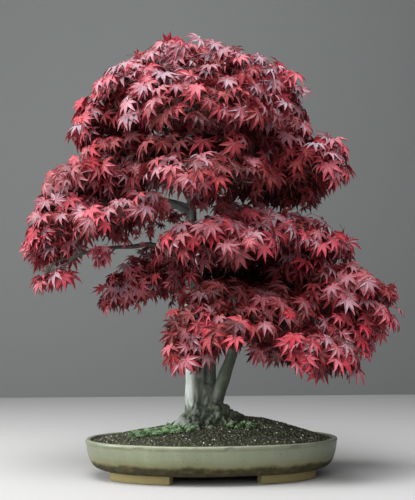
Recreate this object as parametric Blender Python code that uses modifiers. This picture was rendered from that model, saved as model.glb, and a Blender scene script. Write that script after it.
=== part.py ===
"""Red palmate maple bonsai, three stems on one root base, in a shallow oval glazed pot.

Metres, +Z up.  The origin is on the table under the middle of the pot.  +X runs along the
pot's length to the viewer's right, and -Y is the tree's front.
"""
import math

import bmesh
import bpy
from mathutils import Matrix, Vector, noise

# ---------------------------------------------------------------- driving dimensions
POT_LENGTH = 0.442          # over the lip, end to end
POT_WIDTH = 0.302           # over the lip, front to back
POT_HEIGHT = 0.065          # table to the top of the lip
POT_WALL = 0.0085
POT_FLOOR = 0.0080
POT_TAPER = 0.0250          # how far the foot of the wall stands in from the lip
LIP_HEIGHT = 0.0065
LIP_PROUD = 0.0025          # the lip stands out from the wall by this much
FOOT_HEIGHT = 0.0145
FOOT_INSET = 0.0040         # the feet stand in from the foot of the wall
FOOT_WIDTH = 0.0150
FOOT_GAP_MIDDLE = 0.148     # gap between the left and the right feet
FOOT_GAP_END = 0.110        # gap between the front and the back feet
OVAL_POWER = 2.15           # 2 is an ellipse, more is squarer

DRAIN_HOLE_RADIUS = 0.0125
DRAIN_HOLE_SPACING = 0.200
WIRE_HOLE_RADIUS = 0.0030
WIRE_HOLE_SPACING_X = 0.120
WIRE_HOLE_SPACING_Y = 0.110
SCREEN_SIZE = 0.0400
SCREEN_CELLS = 5
SCREEN_THREAD = 0.0014
CLIP_WIRE_RADIUS = 0.00075
CLIP_TAIL = 0.0120          # each end of the clip, bent flat under the pot's floor

SOIL_BELOW_LIP = 0.0045     # the soil's edge, under the top of the lip
MOUND_RISE = 0.0370         # from the soil's edge to the top of the mound
MOUND_OFFSET_X = 0.0600     # the top of the mound lies right of the pot's middle
MOUND_OFFSET_Y = 0.0300
# The mound from its edge to its peak: shares of the outline, of the rise and of the offset.
MOUND_STEPS = ((1.0, 0.0, 0.0), (0.90, 0.16, 0.10), (0.72, 0.40, 0.28), (0.52, 0.62, 0.48),
               (0.34, 0.80, 0.70), (0.18, 0.94, 0.88), (0.06, 1.0, 1.0))
MOSS_THICKNESS = 0.0040

TREE_TOP = 0.790            # table to the highest leaves
CROWN_WIDTH = 0.680
CROWN_DEPTH = 0.480
ROOT_SPREAD = 1.0           # scales how far the surface roots run out

TOUCH_GAP = 0.0003          # left between pieces that touch
SOIL_GAP = 0.0006           # level gap from the soil to the pot's wall, which slopes
WOOD_GAP = 0.0004           # around the limbs, whose flats bring it nearer 0.3 mm

# The limbs and leaf pads are drawn in millimetres, on a tree of this size.
DRAWN_TOP = 790.0
DRAWN_WIDTH = 680.0
DRAWN_DEPTH = 480.0
DRAWN_SOIL = 60.5           # the soil's edge on that drawing
MILLIMETRE = 0.001

# ---------------------------------------------------------------- how finely things are cut
POT_SIDES = 48
PAD_SEGMENTS = 12
PAD_RINGS = 8
BORE_SIDES = 24
OVERCUT = 0.010             # a cutter runs past the face it cuts

# ---------------------------------------------------------------- colours
GLAZE = (0.330, 0.370, 0.270)
SOIL_BROWN = (0.035, 0.026, 0.022)
BARK_GREY = (0.215, 0.240, 0.200)
MOSS_GREEN = (0.070, 0.230, 0.030)
LEAF_CRIMSON = (0.270, 0.030, 0.055)
SCREEN_BLACK = (0.020, 0.020, 0.020)
CLIP_METAL = (0.550, 0.530, 0.500)

# Limbs: name, radius at the start and the end, sides / 2 - 2, and points in drawing millimetres.
STEMS = [
    ("left_stem", 19.0, 3.0, 4, [(-33, -8, 66), (-32, -1, 105), (-31, 0, 140), (-30, 0, 178), (-32, 0, 235),
                                 (-33, 0, 310), (-36, 0, 395), (-35, 0, 470), (-30, 0, 548), (-18, 2, 640),
                                 (-10, 4, 712), (-8, 0, 745)]),
    ("middle_stem", 13.0, 4.5, 3, [(-8, 8, 74), (-4, 12, 120), (-3, 15, 150), (-2, 18, 185), (3, 32, 255),
                                   (8, 60, 320), (20, 92, 372), (60, 118, 402), (110, 128, 415)]),
    ("right_stem", 13.5, 3.0, 3, [(2, 3, 80), (9, 0, 112), (19, 0, 148), (37, 0, 200), (55, 0, 250),
                                  (84, -6, 290), (130, -14, 306), (185, -16, 300), (240, -14, 288)]),
    ("root_base", 46.0, 22.0, 4, [(-12, 2, 60), (-11, 3, 85), (-11, 4, 110), (-11, 5, 138)]),
]

ROOTS = [
    ("left_root", 18.0, 6.0, 3, [(-30, -4, 108), (-50, -10, 90), (-68, -18, 74), (-86, -26, 60)]),
    ("front_left_root", 16.0, 6.0, 3, [(-28, -8, 106), (-37, -28, 88), (-44, -48, 72), (-50, -64, 58)]),
    ("front_root", 15.0, 5.5, 3, [(-8, 0, 106), (-5, -26, 88), (-2, -46, 73), (2, -62, 58)]),
    ("front_right_root", 16.0, 5.5, 3, [(6, 0, 108), (20, -20, 94), (36, -36, 80), (52, -48, 64)]),
    ("right_root", 15.0, 5.0, 3, [(10, 2, 114), (32, 6, 103), (56, 10, 92), (82, 14, 74)]),
    ("back_right_root", 15.0, 5.5, 3, [(4, 12, 110), (22, 34, 100), (38, 52, 88), (54, 68, 70)]),
    ("back_left_root", 16.0, 6.0, 3, [(-26, 8, 108), (-40, 32, 90), (-52, 52, 74), (-62, 68, 58)]),
]

BRANCHES = [
    ("left_low", 8.0, 2.5, 2, [(-36, 0, 356), (-72, -8, 388), (-106, -20, 405), (-138, -30, 400),
                               (-200, -46, 393), (-270, -56, 370)]),
    ("left_low_tip", 3.4, 1.8, 1, [(-204, -46, 392), (-236, -50, 380), (-268, -56, 352)]),
    ("left_high", 8.0, 3.0, 2, [(-35, 0, 462), (-72, -8, 482), (-106, -20, 484), (-160, -16, 486),
                                (-225, -6, 486)]),
    ("left_front", 5.0, 2.5, 1, [(-108, -20, 484), (-138, -60, 466), (-165, -102, 440)]),
    ("left_outer", 4.5, 2.5, 1, [(-172, -15, 486), (-232, -18, 462), (-282, -18, 436)]),
    ("left_back", 6.5, 3.0, 1, [(-35, 0, 474), (-80, 40, 494), (-150, 88, 508), (-220, 118, 506)]),
    ("mid_left", 6.5, 3.0, 1, [(-33, 0, 316), (-60, 24, 338), (-96, 52, 352), (-146, 70, 352)]),
    ("skirt_left", 6.5, 3.0, 1, [(-33, 0, 508), (-92, -6, 544), (-170, -10, 568)]),
    ("skirt_front", 6.0, 3.0, 1, [(-34, 0, 452), (-32, -60, 470), (-18, -150, 492)]),
    ("skirt_back_left", 6.0, 3.0, 1, [(-32, 0, 526), (-70, 56, 562), (-140, 130, 590)]),
    ("skirt_back_right", 6.5, 3.0, 1, [(-32, 0, 534), (6, 66, 564), (66, 150, 592)]),
    ("shoulder", 8.0, 3.0, 2, [(-34, 0, 492), (28, -6, 524), (100, -14, 546), (176, -18, 550)]),
    ("crown_left", 5.5, 2.5, 1, [(-29, 0, 566), (-84, -8, 618), (-150, -12, 648)]),
    ("crown_right", 5.5, 2.5, 1, [(-28, 0, 576), (36, -6, 628), (106, -10, 656)]),
    ("crown_front", 5.5, 2.5, 1, [(-26, 0, 560), (-22, -76, 592), (-16, -156, 606)]),
    ("crown_back", 5.5, 2.5, 1, [(-24, 0, 600), (-14, 80, 650), (-4, 158, 690)]),
    ("mid_right", 8.5, 3.0, 2, [(-36, 0, 376), (26, -14, 396), (98, -30, 410), (168, -36, 414)]),
    ("mid_front", 6.5, 3.0, 1, [(-35, 0, 366), (-18, -62, 384), (10, -138, 402)]),
    ("low_front", 5.0, 2.5, 1, [(48, 0, 232), (50, -60, 246), (48, -150, 250)]),
    ("low_left_front", 5.0, 2.5, 1, [(-32, 0, 206), (-42, -56, 216), (-46, -110, 224)]),
    ("low_back", 6.0, 3.0, 1, [(0, 24, 222), (44, 78, 248), (110, 122, 268)]),
    ("low_right_front", 4.5, 2.5, 1, [(110, -10, 302), (148, -70, 262), (176, -142, 216)]),
]

# Leaf pads: name and the box that each fills, in drawing millimetres.
LEAF_PADS = [
    ("leaves_apex", (-148, 134), (-108, 108), (696, 790)),
    ("leaves_crown_left", (-238, -62), (-104, 78), (606, 696)),
    ("leaves_crown_right", (34, 186), (-102, 84), (608, 692)),
    ("leaves_crown_front", (-128, 98), (-222, -106), (560, 676)),
    ("leaves_crown_back", (-136, 132), (98, 214), (640, 740)),
    ("leaves_skirt_left", (-250, -84), (-100, 78), (534, 604)),
    ("leaves_skirt_front", (-112, 84), (-240, -88), (454, 552)),
    ("leaves_shoulder_right", (92, 262), (-124, 86), (478, 604)),
    ("leaves_skirt_back_left", (-238, -62), (74, 204), (548, 640)),
    ("leaves_skirt_back_right", (-52, 198), (92, 240), (548, 636)),
    ("leaves_left_upper", (-312, -176), (-66, 62), (454, 530)),
    ("leaves_left_front", (-246, -96), (-184, -60), (386, 478)),
    ("leaves_left_outer", (-340, -240), (-78, 48), (374, 450)),
    ("leaves_left_tip", (-326, -226), (-96, -16), (304, 372)),
    ("leaves_left_back", (-312, -140), (66, 174), (456, 546)),
    ("leaves_mid_left", (-214, -62), (8, 132), (296, 410)),
    ("leaves_mid_front", (-86, 112), (-210, -70), (358, 448)),
    ("leaves_mid_right", (88, 252), (-124, 48), (366, 462)),
    ("leaves_mid_back", (6, 244), (54, 206), (370, 468)),
    ("leaves_low_right", (158, 340), (-92, 66), (236, 352)),
    ("leaves_low_right_front", (112, 264), (-206, -88), (158, 254)),
    ("leaves_low_front", (-14, 104), (-214, -92), (190, 302)),
    ("leaves_low_left_front", (-98, -16), (-176, -56), (172, 274)),
    ("leaves_low_back", (10, 226), (58, 196), (214, 320)),
    ("leaves_low_centre", (62, 162), (-76, 46), (250, 330)),
]
PAD_DROOP = 0.30            # an outer pad falls this much for each unit outwards
PAD_LUMP = 0.07             # how far the outline swells in and out
PAD_UNDERSIDE = 0.62        # depth of the underside against the top

# Moss patches: name, middle, half sizes and turn, in drawing millimetres and degrees.
MOSS_PATCHES = [
    ("moss_left", (-86, -46), (50, 17), -10),
    ("moss_right", (50, -44), (26, 12), 16),
    ("moss_back", (-44, 78), (30, 14), 12),
]


# ---------------------------------------------------------------- scene helpers
def clear_scene():
    for thing in list(bpy.data.objects):
        bpy.data.objects.remove(thing, do_unlink=True)


def make_collection(name):
    collection = bpy.data.collections.new(name)
    bpy.context.scene.collection.children.link(collection)
    return collection


def make_material(name, colour, roughness, metallic=0.0):
    material = bpy.data.materials.new(name)
    material.use_nodes = True
    shader = material.node_tree.nodes["Principled BSDF"]
    shader.inputs["Base Color"].default_value = (*colour, 1.0)
    shader.inputs["Roughness"].default_value = roughness
    shader.inputs["Metallic"].default_value = metallic
    return material


def add_object(name, data, collection, material=None):
    thing = bpy.data.objects.new(name, data)
    collection.objects.link(thing)
    if material:
        data.materials.append(material)
    return thing


def mesh_from(form, name):
    bmesh.ops.recalc_face_normals(form, faces=form.faces)
    mesh = bpy.data.meshes.new(name)
    form.to_mesh(mesh)
    form.free()
    return mesh


def hide_cutter(thing):
    thing.hide_render = True
    thing.display_type = "WIRE"


def add_boolean(thing, operation, cutter):
    step = thing.modifiers.new(operation.lower() + "_" + cutter.name, "BOOLEAN")
    step.operation = operation
    step.solver = "EXACT"
    step.object = cutter


def settle(thing):
    """Replace an object's mesh with what its modifiers make of it."""
    bpy.context.view_layer.update()
    evaluated = thing.evaluated_get(bpy.context.evaluated_depsgraph_get())
    made = bpy.data.meshes.new_from_object(evaluated)
    thing.modifiers.clear()
    thing.data = made


def smooth(thing, degrees=40):
    thing.data.shade_smooth()
    thing.data.set_sharp_from_angle(angle=math.radians(degrees))


# ---------------------------------------------------------------- shapes
def oval_point(angle, length, width):
    """A point on a rounded oval of the given length and width."""
    power = 2.0 / OVAL_POWER
    c, s = math.cos(angle), math.sin(angle)
    return (0.5 * length * math.copysign(abs(c) ** power, c),
            0.5 * width * math.copysign(abs(s) ** power, s))


def oval_loft(name, rings, closed=False):
    """Skin ovals given as (length, width, height, shift x, shift y); closed joins last to first."""
    form = bmesh.new()
    loops = []
    for length, width, height, shift_x, shift_y in rings:
        loop = []
        for side in range(POT_SIDES):
            x, y = oval_point(2.0 * math.pi * side / POT_SIDES, length, width)
            loop.append(form.verts.new((x + shift_x, y + shift_y, height)))
        loops.append(loop)
    pairs = list(zip(loops, loops[1:]))
    if closed:
        pairs.append((loops[-1], loops[0]))
    else:
        form.faces.new(loops[0])
        form.faces.new(loops[-1])
    for lower, upper in pairs:
        for side in range(POT_SIDES):
            after = (side + 1) % POT_SIDES
            form.faces.new((lower[side], lower[after], upper[after], upper[side]))
    return mesh_from(form, name)


def box_mesh(name, size, centre):
    form = bmesh.new()
    bmesh.ops.create_cube(form, size=1.0)
    bmesh.ops.scale(form, vec=size, verts=form.verts)
    bmesh.ops.translate(form, vec=centre, verts=form.verts)
    return mesh_from(form, name)


def rod_mesh(name, radius, low, high, x, y):
    form = bmesh.new()
    bmesh.ops.create_cone(form, cap_ends=True, segments=BORE_SIDES, radius1=radius, radius2=radius,
                          depth=high - low)
    bmesh.ops.translate(form, vec=(x, y, 0.5 * (low + high)), verts=form.verts)
    return mesh_from(form, name)


def tube_object(name, points, radii, resolution, collection):
    """A closed tube through the points, as a mesh object; the radius follows the points."""
    curve = bpy.data.curves.new(name, "CURVE")
    curve.dimensions = "3D"
    curve.bevel_depth = 1.0
    curve.bevel_resolution = resolution
    curve.use_fill_caps = True
    line = curve.splines.new("POLY")
    line.points.add(len(points) - 1)
    for knot, place, radius in zip(line.points, points, radii):
        knot.co = (*place, 1.0)
        knot.radius = radius
    source = add_object(name + "_line", curve, collection)
    bpy.context.view_layer.update()
    evaluated = source.evaluated_get(bpy.context.evaluated_depsgraph_get())
    mesh = bpy.data.meshes.new_from_object(evaluated)
    place = source.matrix_world.copy()
    bpy.data.objects.remove(source, do_unlink=True)
    form = bmesh.new()
    form.from_mesh(mesh)
    bmesh.ops.remove_doubles(form, verts=form.verts, dist=0.00001)
    bmesh.ops.recalc_face_normals(form, faces=form.faces)
    form.to_mesh(mesh)
    form.free()
    tube = add_object(name, mesh, collection)
    tube.matrix_world = place
    return tube


# ---------------------------------------------------------------- sizes worked out from the above
def wall_profile():
    """Outside of the pot from its foot to the lip, as (inset from the lip's outline, height)."""
    wall = POT_HEIGHT - LIP_HEIGHT - FOOT_HEIGHT
    return [(POT_TAPER, FOOT_HEIGHT),
            (0.60 * POT_TAPER, FOOT_HEIGHT + 0.10 * wall),
            (0.34 * POT_TAPER, FOOT_HEIGHT + 0.28 * wall),
            (0.20 * POT_TAPER, FOOT_HEIGHT + 0.52 * wall),
            (0.12 * POT_TAPER, FOOT_HEIGHT + 0.78 * wall),
            (LIP_PROUD, POT_HEIGHT - LIP_HEIGHT),
            (0.0, POT_HEIGHT - 0.75 * LIP_HEIGHT),
            (0.0, POT_HEIGHT - 0.20 * LIP_HEIGHT),
            (0.2 * POT_WALL, POT_HEIGHT)]


def inner_profile():
    """Inside of the pot from the lip down to the floor."""
    floor = FOOT_HEIGHT + POT_FLOOR
    depth = POT_HEIGHT - floor
    return [(0.85 * POT_WALL, POT_HEIGHT),
            (POT_WALL, POT_HEIGHT - 0.2 * LIP_HEIGHT),
            (POT_WALL + 0.10 * POT_TAPER, floor + 0.50 * depth),
            (POT_WALL + 0.30 * POT_TAPER, floor + 0.15 * depth),
            (POT_WALL + 0.80 * POT_TAPER, floor)]


def pot_ring(inset, height):
    return (POT_LENGTH - 2.0 * inset, POT_WIDTH - 2.0 * inset, height, 0.0, 0.0)


def inside_inset(height):
    """How far the inner wall stands in from the lip's outline at a height."""
    profile = inner_profile()
    for (inset_a, high), (inset_b, low) in zip(profile, profile[1:]):
        if low <= height <= high:
            share = (height - low) / (high - low)
            return inset_b + (inset_a - inset_b) * share
    return profile[-1][0]


def soil_edge_height():
    return POT_HEIGHT - SOIL_BELOW_LIP


def from_drawing(x, y, z):
    """Turn drawing millimetres into metres at this tree's own size."""
    rise = (TREE_TOP - soil_edge_height()) / (DRAWN_TOP - DRAWN_SOIL)
    return Vector((x * CROWN_WIDTH / DRAWN_WIDTH,
                   y * CROWN_DEPTH / DRAWN_DEPTH,
                   soil_edge_height() + (z - DRAWN_SOIL) * rise))


def mound_rings(lift):
    """The soil's top from its edge to its peak; lift raises it, for moss that lies on it."""
    length = POT_LENGTH - 2.0 * (inside_inset(soil_edge_height()) + SOIL_GAP)
    width = POT_WIDTH - 2.0 * (inside_inset(soil_edge_height()) + SOIL_GAP)
    edge = soil_edge_height()
    rings = []
    for share, rise, shift in MOUND_STEPS:
        rings.append((share * length, share * width, edge + rise * MOUND_RISE + lift,
                      shift * MOUND_OFFSET_X, shift * MOUND_OFFSET_Y))
    return rings


# ---------------------------------------------------------------- pot and what lies in it
def make_feet(cutters):
    foot_length = POT_LENGTH - 2.0 * (POT_TAPER + FOOT_INSET)
    foot_width = POT_WIDTH - 2.0 * (POT_TAPER + FOOT_INSET)
    top = FOOT_HEIGHT + 0.5 * POT_FLOOR
    inner_length = foot_length - 2.0 * FOOT_WIDTH
    inner_width = foot_width - 2.0 * FOOT_WIDTH
    band = oval_loft("foot_band", [(foot_length - 0.003, foot_width - 0.003, 0.0, 0.0, 0.0),
                                   (foot_length, foot_width, top, 0.0, 0.0),
                                   (inner_length, inner_width, top, 0.0, 0.0),
                                   (inner_length, inner_width, 0.0, 0.0, 0.0)], closed=True)
    feet = add_object("feet", band, cutters)
    hide_cutter(feet)
    tall = 2.0 * (top + OVERCUT)
    for name, size in (("middle_gap", (FOOT_GAP_MIDDLE, 2.0 * POT_WIDTH, tall)),
                       ("end_gap", (2.0 * POT_LENGTH, FOOT_GAP_END, tall))):
        cutter = add_object(name, box_mesh(name, size, (0.0, 0.0, 0.0)), cutters)
        hide_cutter(cutter)
        add_boolean(feet, "DIFFERENCE", cutter)
    return feet


def drain_places():
    return [("left", -0.5 * DRAIN_HOLE_SPACING), ("right", 0.5 * DRAIN_HOLE_SPACING)]


def make_pot(parts, cutters, glaze):
    rings = [pot_ring(inset, height) for inset, height in wall_profile() + inner_profile()]
    pot = add_object("pot", oval_loft("pot", rings), parts, glaze)
    add_boolean(pot, "UNION", make_feet(cutters))
    holes = [(side + "_drain", DRAIN_HOLE_RADIUS, x, 0.0) for side, x in drain_places()]
    for sign_x in (-1, 1):
        for sign_y in (-1, 1):
            name = "wire_hole_%d_%d" % (sign_x, sign_y)
            holes.append((name, WIRE_HOLE_RADIUS, 0.5 * sign_x * WIRE_HOLE_SPACING_X,
                          0.5 * sign_y * WIRE_HOLE_SPACING_Y))
    low = FOOT_HEIGHT - OVERCUT
    high = FOOT_HEIGHT + POT_FLOOR + OVERCUT
    for name, radius, x, y in holes:
        cutter = add_object(name, rod_mesh(name, radius, low, high, x, y), cutters)
        hide_cutter(cutter)
        add_boolean(pot, "DIFFERENCE", cutter)
    smooth(pot)
    return pot


def screen_base():
    return FOOT_HEIGHT + POT_FLOOR + TOUCH_GAP


def make_screen(side, x, parts, plastic):
    """A square of mesh over a drain hole."""
    form = bmesh.new()
    bmesh.ops.create_grid(form, x_segments=SCREEN_CELLS, y_segments=SCREEN_CELLS,
                          size=0.5 * (SCREEN_SIZE - SCREEN_THREAD))
    mesh = bpy.data.meshes.new("screen")
    form.to_mesh(mesh)
    form.free()
    screen = add_object("drain_screen_" + side, mesh, parts, plastic)
    screen.location = (x, 0.0, screen_base() + 0.5 * SCREEN_THREAD)
    lattice = screen.modifiers.new("lattice", "WIREFRAME")
    lattice.thickness = SCREEN_THREAD
    lattice.use_boundary = True
    lattice.use_even_offset = True
    return screen


def make_clip(side, x, parts, metal):
    """A wire staple through the screen and the drain hole, its ends bent flat under the floor."""
    cell = SCREEN_SIZE / SCREEN_CELLS
    reach = cell * max(1, int((DRAIN_HOLE_RADIUS - 4.0 * CLIP_WIRE_RADIUS) / cell))
    top = screen_base() + SCREEN_THREAD + TOUCH_GAP + CLIP_WIRE_RADIUS
    under = FOOT_HEIGHT - TOUCH_GAP - CLIP_WIRE_RADIUS
    tail = DRAIN_HOLE_RADIUS + CLIP_TAIL
    half = [(reach, 0.0, top), (reach, 0.0, under), (tail, 0.0, under)]
    points = [(x - px, py, pz) for px, py, pz in reversed(half)] + [(x + px, py, pz) for px, py, pz in half]
    clip = tube_object("screen_clip_" + side, points, [CLIP_WIRE_RADIUS] * len(points), 2, parts)
    clip.data.materials.append(metal)
    smooth(clip, 50)
    return clip


def make_soil(parts, cutters, brown, wood_space):
    rings = []
    floor = FOOT_HEIGHT + POT_FLOOR
    for inset, height in reversed(inner_profile()[2:]):
        rings.append(pot_ring(inset + SOIL_GAP, max(height, floor + TOUCH_GAP)))
    soil = add_object("soil", oval_loft("soil", rings + mound_rings(0.0)), parts, brown)
    add_boolean(soil, "DIFFERENCE", wood_space)
    room = SCREEN_SIZE + 2.0 * TOUCH_GAP
    high = screen_base() + SCREEN_THREAD + 2.0 * TOUCH_GAP + 2.0 * CLIP_WIRE_RADIUS
    for side, x in drain_places():
        block = box_mesh("screen_room_" + side, (room, room, 2.0 * (high - FOOT_HEIGHT)), (x, 0.0, FOOT_HEIGHT))
        cutter = add_object("screen_room_" + side, block, cutters)
        hide_cutter(cutter)
        add_boolean(soil, "DIFFERENCE", cutter)
    smooth(soil, 50)
    return soil


def make_moss(name, middle, half_size, turn, parts, cutters, green, wood_space):
    """A thin cushion of moss that follows the mound, with a wavy outline."""
    form = bmesh.new()
    bmesh.ops.create_cone(form, cap_ends=True, segments=PAD_SEGMENTS, radius1=1.0, radius2=1.0, depth=1.0)
    seed = Vector((len(name), half_size[0], half_size[1]))
    for vert in form.verts:
        swell = 1.0 + 0.25 * noise.noise(seed + 2.0 * Vector((vert.co.x, vert.co.y, 0.0)))
        vert.co.x *= swell * half_size[0] * MILLIMETRE
        vert.co.y *= swell * half_size[1] * MILLIMETRE
    bmesh.ops.rotate(form, cent=(0, 0, 0), matrix=Matrix.Rotation(math.radians(turn), 3, "Z"), verts=form.verts)
    centre = (middle[0] * POT_LENGTH / 442.0, middle[1] * POT_WIDTH / 302.0, POT_HEIGHT + 0.5 * MOUND_RISE)
    bmesh.ops.translate(form, vec=centre, verts=form.verts)
    outline = add_object(name + "_outline", mesh_from(form, name + "_outline"), cutters)
    hide_cutter(outline)
    under = mound_rings(TOUCH_GAP)
    over = mound_rings(TOUCH_GAP + MOSS_THICKNESS)
    rings = list(reversed(under)) + over
    sheet = oval_loft(name, rings)
    moss = add_object(name, sheet, parts, green)
    add_boolean(moss, "INTERSECT", outline)
    add_boolean(moss, "DIFFERENCE", wood_space)
    smooth(moss, 60)
    return moss


# ---------------------------------------------------------------- wood
def smooth_route(points):
    """Points along a Catmull-Rom curve: one more between each pair."""
    ends = [points[0] * 2.0 - points[1]] + points + [points[-1] * 2.0 - points[-2]]
    route = []
    for before, start, end, after in zip(ends, ends[1:], ends[2:], ends[3:]):
        route.append(start)
        route.append((start + end) * 0.5625 - (before + after) * 0.0625)
    route.append(points[-1])
    return route


def limb_radii(route, start, end):
    """Radii that shrink with the distance run."""
    run = [0.0]
    for a, b in zip(route, route[1:]):
        run.append(run[-1] + (b - a).length)
    return [start + (end - start) * distance / run[-1] for distance in run]


def make_limbs(prefix, grow, cutters):
    """One tube for each stem, root and branch; grow fattens them all."""
    tubes = []
    for name, start, end, resolution, points in STEMS + ROOTS + BRANCHES:
        spread = ROOT_SPREAD if name.endswith("root") else 1.0
        places = [from_drawing(x * spread, y * spread, z) for x, y, z in points]
        route = smooth_route(places) if len(places) > 3 else places
        radii = [radius * MILLIMETRE + grow for radius in limb_radii(route, start, end)]
        route[0] = route[0] + (route[0] - route[1]).normalized() * grow
        route[-1] = route[-1] + (route[-1] - route[-2]).normalized() * grow
        tube = tube_object(prefix + name, route, radii, resolution, cutters)
        hide_cutter(tube)
        tubes.append(tube)
    return tubes


def make_wood(name, grow, collection, cutters):
    """All limbs joined into one solid."""
    tubes = make_limbs(name + "_", grow, cutters)
    wood = add_object(name, tubes[0].data.copy(), collection)
    wood.matrix_world = tubes[0].matrix_world.copy()
    for tube in tubes[1:]:
        add_boolean(wood, "UNION", tube)
    settle(wood)
    for tube in tubes:
        bpy.data.objects.remove(tube, do_unlink=True)
    return wood


# ---------------------------------------------------------------- leaves
def make_leaf_pad(name, spans, parts, red, wood_space):
    """A lumpy dome of foliage that fills its box, with sockets for the limbs that enter it."""
    low = from_drawing(*[span[0] for span in spans])
    high = from_drawing(*[span[1] for span in spans])
    middle = (low + high) * 0.5
    size = high - low
    outward = Vector((middle.x, middle.y, 0.0))
    if outward.length > 0.0:
        outward = outward / max(outward.length, 0.5 * min(CROWN_WIDTH, CROWN_DEPTH))
    form = bmesh.new()
    bmesh.ops.create_uvsphere(form, u_segments=PAD_SEGMENTS, v_segments=PAD_RINGS, radius=1.0)
    seed = Vector(spans[0] + (spans[1][0],)) * 0.01
    for vert in form.verts:
        vert.co *= 1.0 + PAD_LUMP * noise.noise(seed + 1.7 * vert.co)
        if vert.co.z < 0.0:
            vert.co.z *= PAD_UNDERSIDE
        across = vert.co.x * size.x * outward.x + vert.co.y * size.y * outward.y
        vert.co.z -= PAD_DROOP * across / size.z
    for axis in range(3):
        values = [vert.co[axis] for vert in form.verts]
        least, most = min(values), max(values)
        for vert in form.verts:
            vert.co[axis] = low[axis] + (vert.co[axis] - least) / (most - least) * size[axis]
    pad = add_object(name, mesh_from(form, name), parts, red)
    add_boolean(pad, "DIFFERENCE", wood_space)
    smooth(pad, 60)
    return pad


# ---------------------------------------------------------------- build
def build():
    clear_scene()
    parts = make_collection("maple_bonsai")
    cutters = make_collection("cutters")
    glaze = make_material("celadon_glaze", GLAZE, 0.35)
    brown = make_material("soil", SOIL_BROWN, 0.95)
    bark = make_material("bark", BARK_GREY, 0.75)
    green = make_material("moss", MOSS_GREEN, 0.95)
    red = make_material("maple_leaf", LEAF_CRIMSON, 0.55)
    plastic = make_material("screen_plastic", SCREEN_BLACK, 0.6)
    metal = make_material("clip_wire", CLIP_METAL, 0.4, metallic=1.0)

    wood = make_wood("trunk_and_branches", 0.0, parts, cutters)
    wood.data.materials.append(bark)
    smooth(wood, 60)
    wood_space = make_wood("wood_space", WOOD_GAP, cutters, cutters)
    hide_cutter(wood_space)

    make_pot(parts, cutters, glaze)
    make_soil(parts, cutters, brown, wood_space)
    for side, x in drain_places():
        make_screen(side, x, parts, plastic)
        make_clip(side, x, parts, metal)
    for name, middle, half_size, turn in MOSS_PATCHES:
        make_moss(name, middle, half_size, turn, parts, cutters, green, wood_space)
    for name, *spans in LEAF_PADS:
        make_leaf_pad(name, spans, parts, red, wood_space)


build()
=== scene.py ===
"""A red palmate maple grown as a bonsai: three stems on one flared root base, in an oval glazed pot.

Metres, +Z up, the pot's feet on z = 0, +X along the pot, -Y the tree's front.
"""

import math

import bmesh
import bpy
import numpy as np
from mathutils import Matrix, Vector, noise


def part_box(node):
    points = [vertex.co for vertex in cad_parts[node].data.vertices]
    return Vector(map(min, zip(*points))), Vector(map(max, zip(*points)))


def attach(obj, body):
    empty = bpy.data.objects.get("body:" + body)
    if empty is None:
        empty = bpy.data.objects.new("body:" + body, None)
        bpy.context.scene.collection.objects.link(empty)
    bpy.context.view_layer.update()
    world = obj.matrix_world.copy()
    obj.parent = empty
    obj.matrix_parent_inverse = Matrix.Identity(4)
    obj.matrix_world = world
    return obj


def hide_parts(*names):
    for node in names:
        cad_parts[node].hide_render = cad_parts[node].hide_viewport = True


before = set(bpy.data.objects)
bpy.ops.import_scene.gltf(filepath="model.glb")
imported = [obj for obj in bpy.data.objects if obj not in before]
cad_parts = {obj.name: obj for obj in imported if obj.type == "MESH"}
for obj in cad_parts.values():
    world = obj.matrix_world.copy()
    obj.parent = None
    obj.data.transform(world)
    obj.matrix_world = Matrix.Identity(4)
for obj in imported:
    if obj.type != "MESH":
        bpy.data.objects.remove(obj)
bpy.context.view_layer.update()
MM = 0.001

# ---------------------------------------------------------------- pot sizes
POT_LENGTH = 0.442
POT_WIDTH = 0.302
POT_HEIGHT = 0.065
POT_WALL = 0.0085
POT_FLOOR = 0.0080
POT_TAPER = 0.0250
LIP_HEIGHT = 0.0065
LIP_PROUD = 0.0025
FOOT_HEIGHT = 0.0145
FOOT_INSET = 0.0040
FOOT_WIDTH = 0.0150
FOOT_GAP_MIDDLE = 0.148
FOOT_GAP_END = 0.110
OVAL_POWER = 2.15
DRAIN_HOLES = (-0.100, 0.100)
DRAIN_HOLE_RADIUS = 0.0125
WIRE_HOLES = ((-0.060, -0.055), (-0.060, 0.055), (0.060, -0.055), (0.060, 0.055))
WIRE_HOLE_RADIUS = 0.0030
POT_SIDES = 176

# ---------------------------------------------------------------- soil sizes
SOIL_EDGE = 0.0605
SOIL_GAP = 0.0006
MOUND_RISE = 0.0370
MOUND_OFFSET = (0.0600, 0.0300)
MOUND_STEPS = ((1.0, 0.0, 0.0), (0.90, 0.16, 0.10), (0.72, 0.40, 0.28), (0.52, 0.62, 0.48),
               (0.34, 0.80, 0.70), (0.18, 0.94, 0.88), (0.06, 1.0, 1.0))
SOIL_SIDES = 120
# The bowl outside and inside, from the foot up and from the rim down: shares of the taper and of the height.
BOWL_CURVE = ((0.84, 0.045), (0.66, 0.10), (0.51, 0.18), (0.38, 0.28), (0.28, 0.40), (0.20, 0.52), (0.135, 0.65),
              (0.085, 0.80), (0.055, 0.93))
INNER_CURVE = ((0.10, 0.50), (0.30, 0.15), (0.80, 0.0))
ROD_LENGTH = 0.030                              # of the rods that cut the holes
SCREEN_ROOM = (0.0408, 0.0408, 0.0240)          # what the soil leaves free over each drain hole
SCREEN_ROOM_HEIGHT = 0.0142
GRANULES_PER_AREA = 84000.0
GRIT_PER_AREA = 1500.0
GRANULE_RADIUS = 0.0017
GRANULE_SEED = 5

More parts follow.
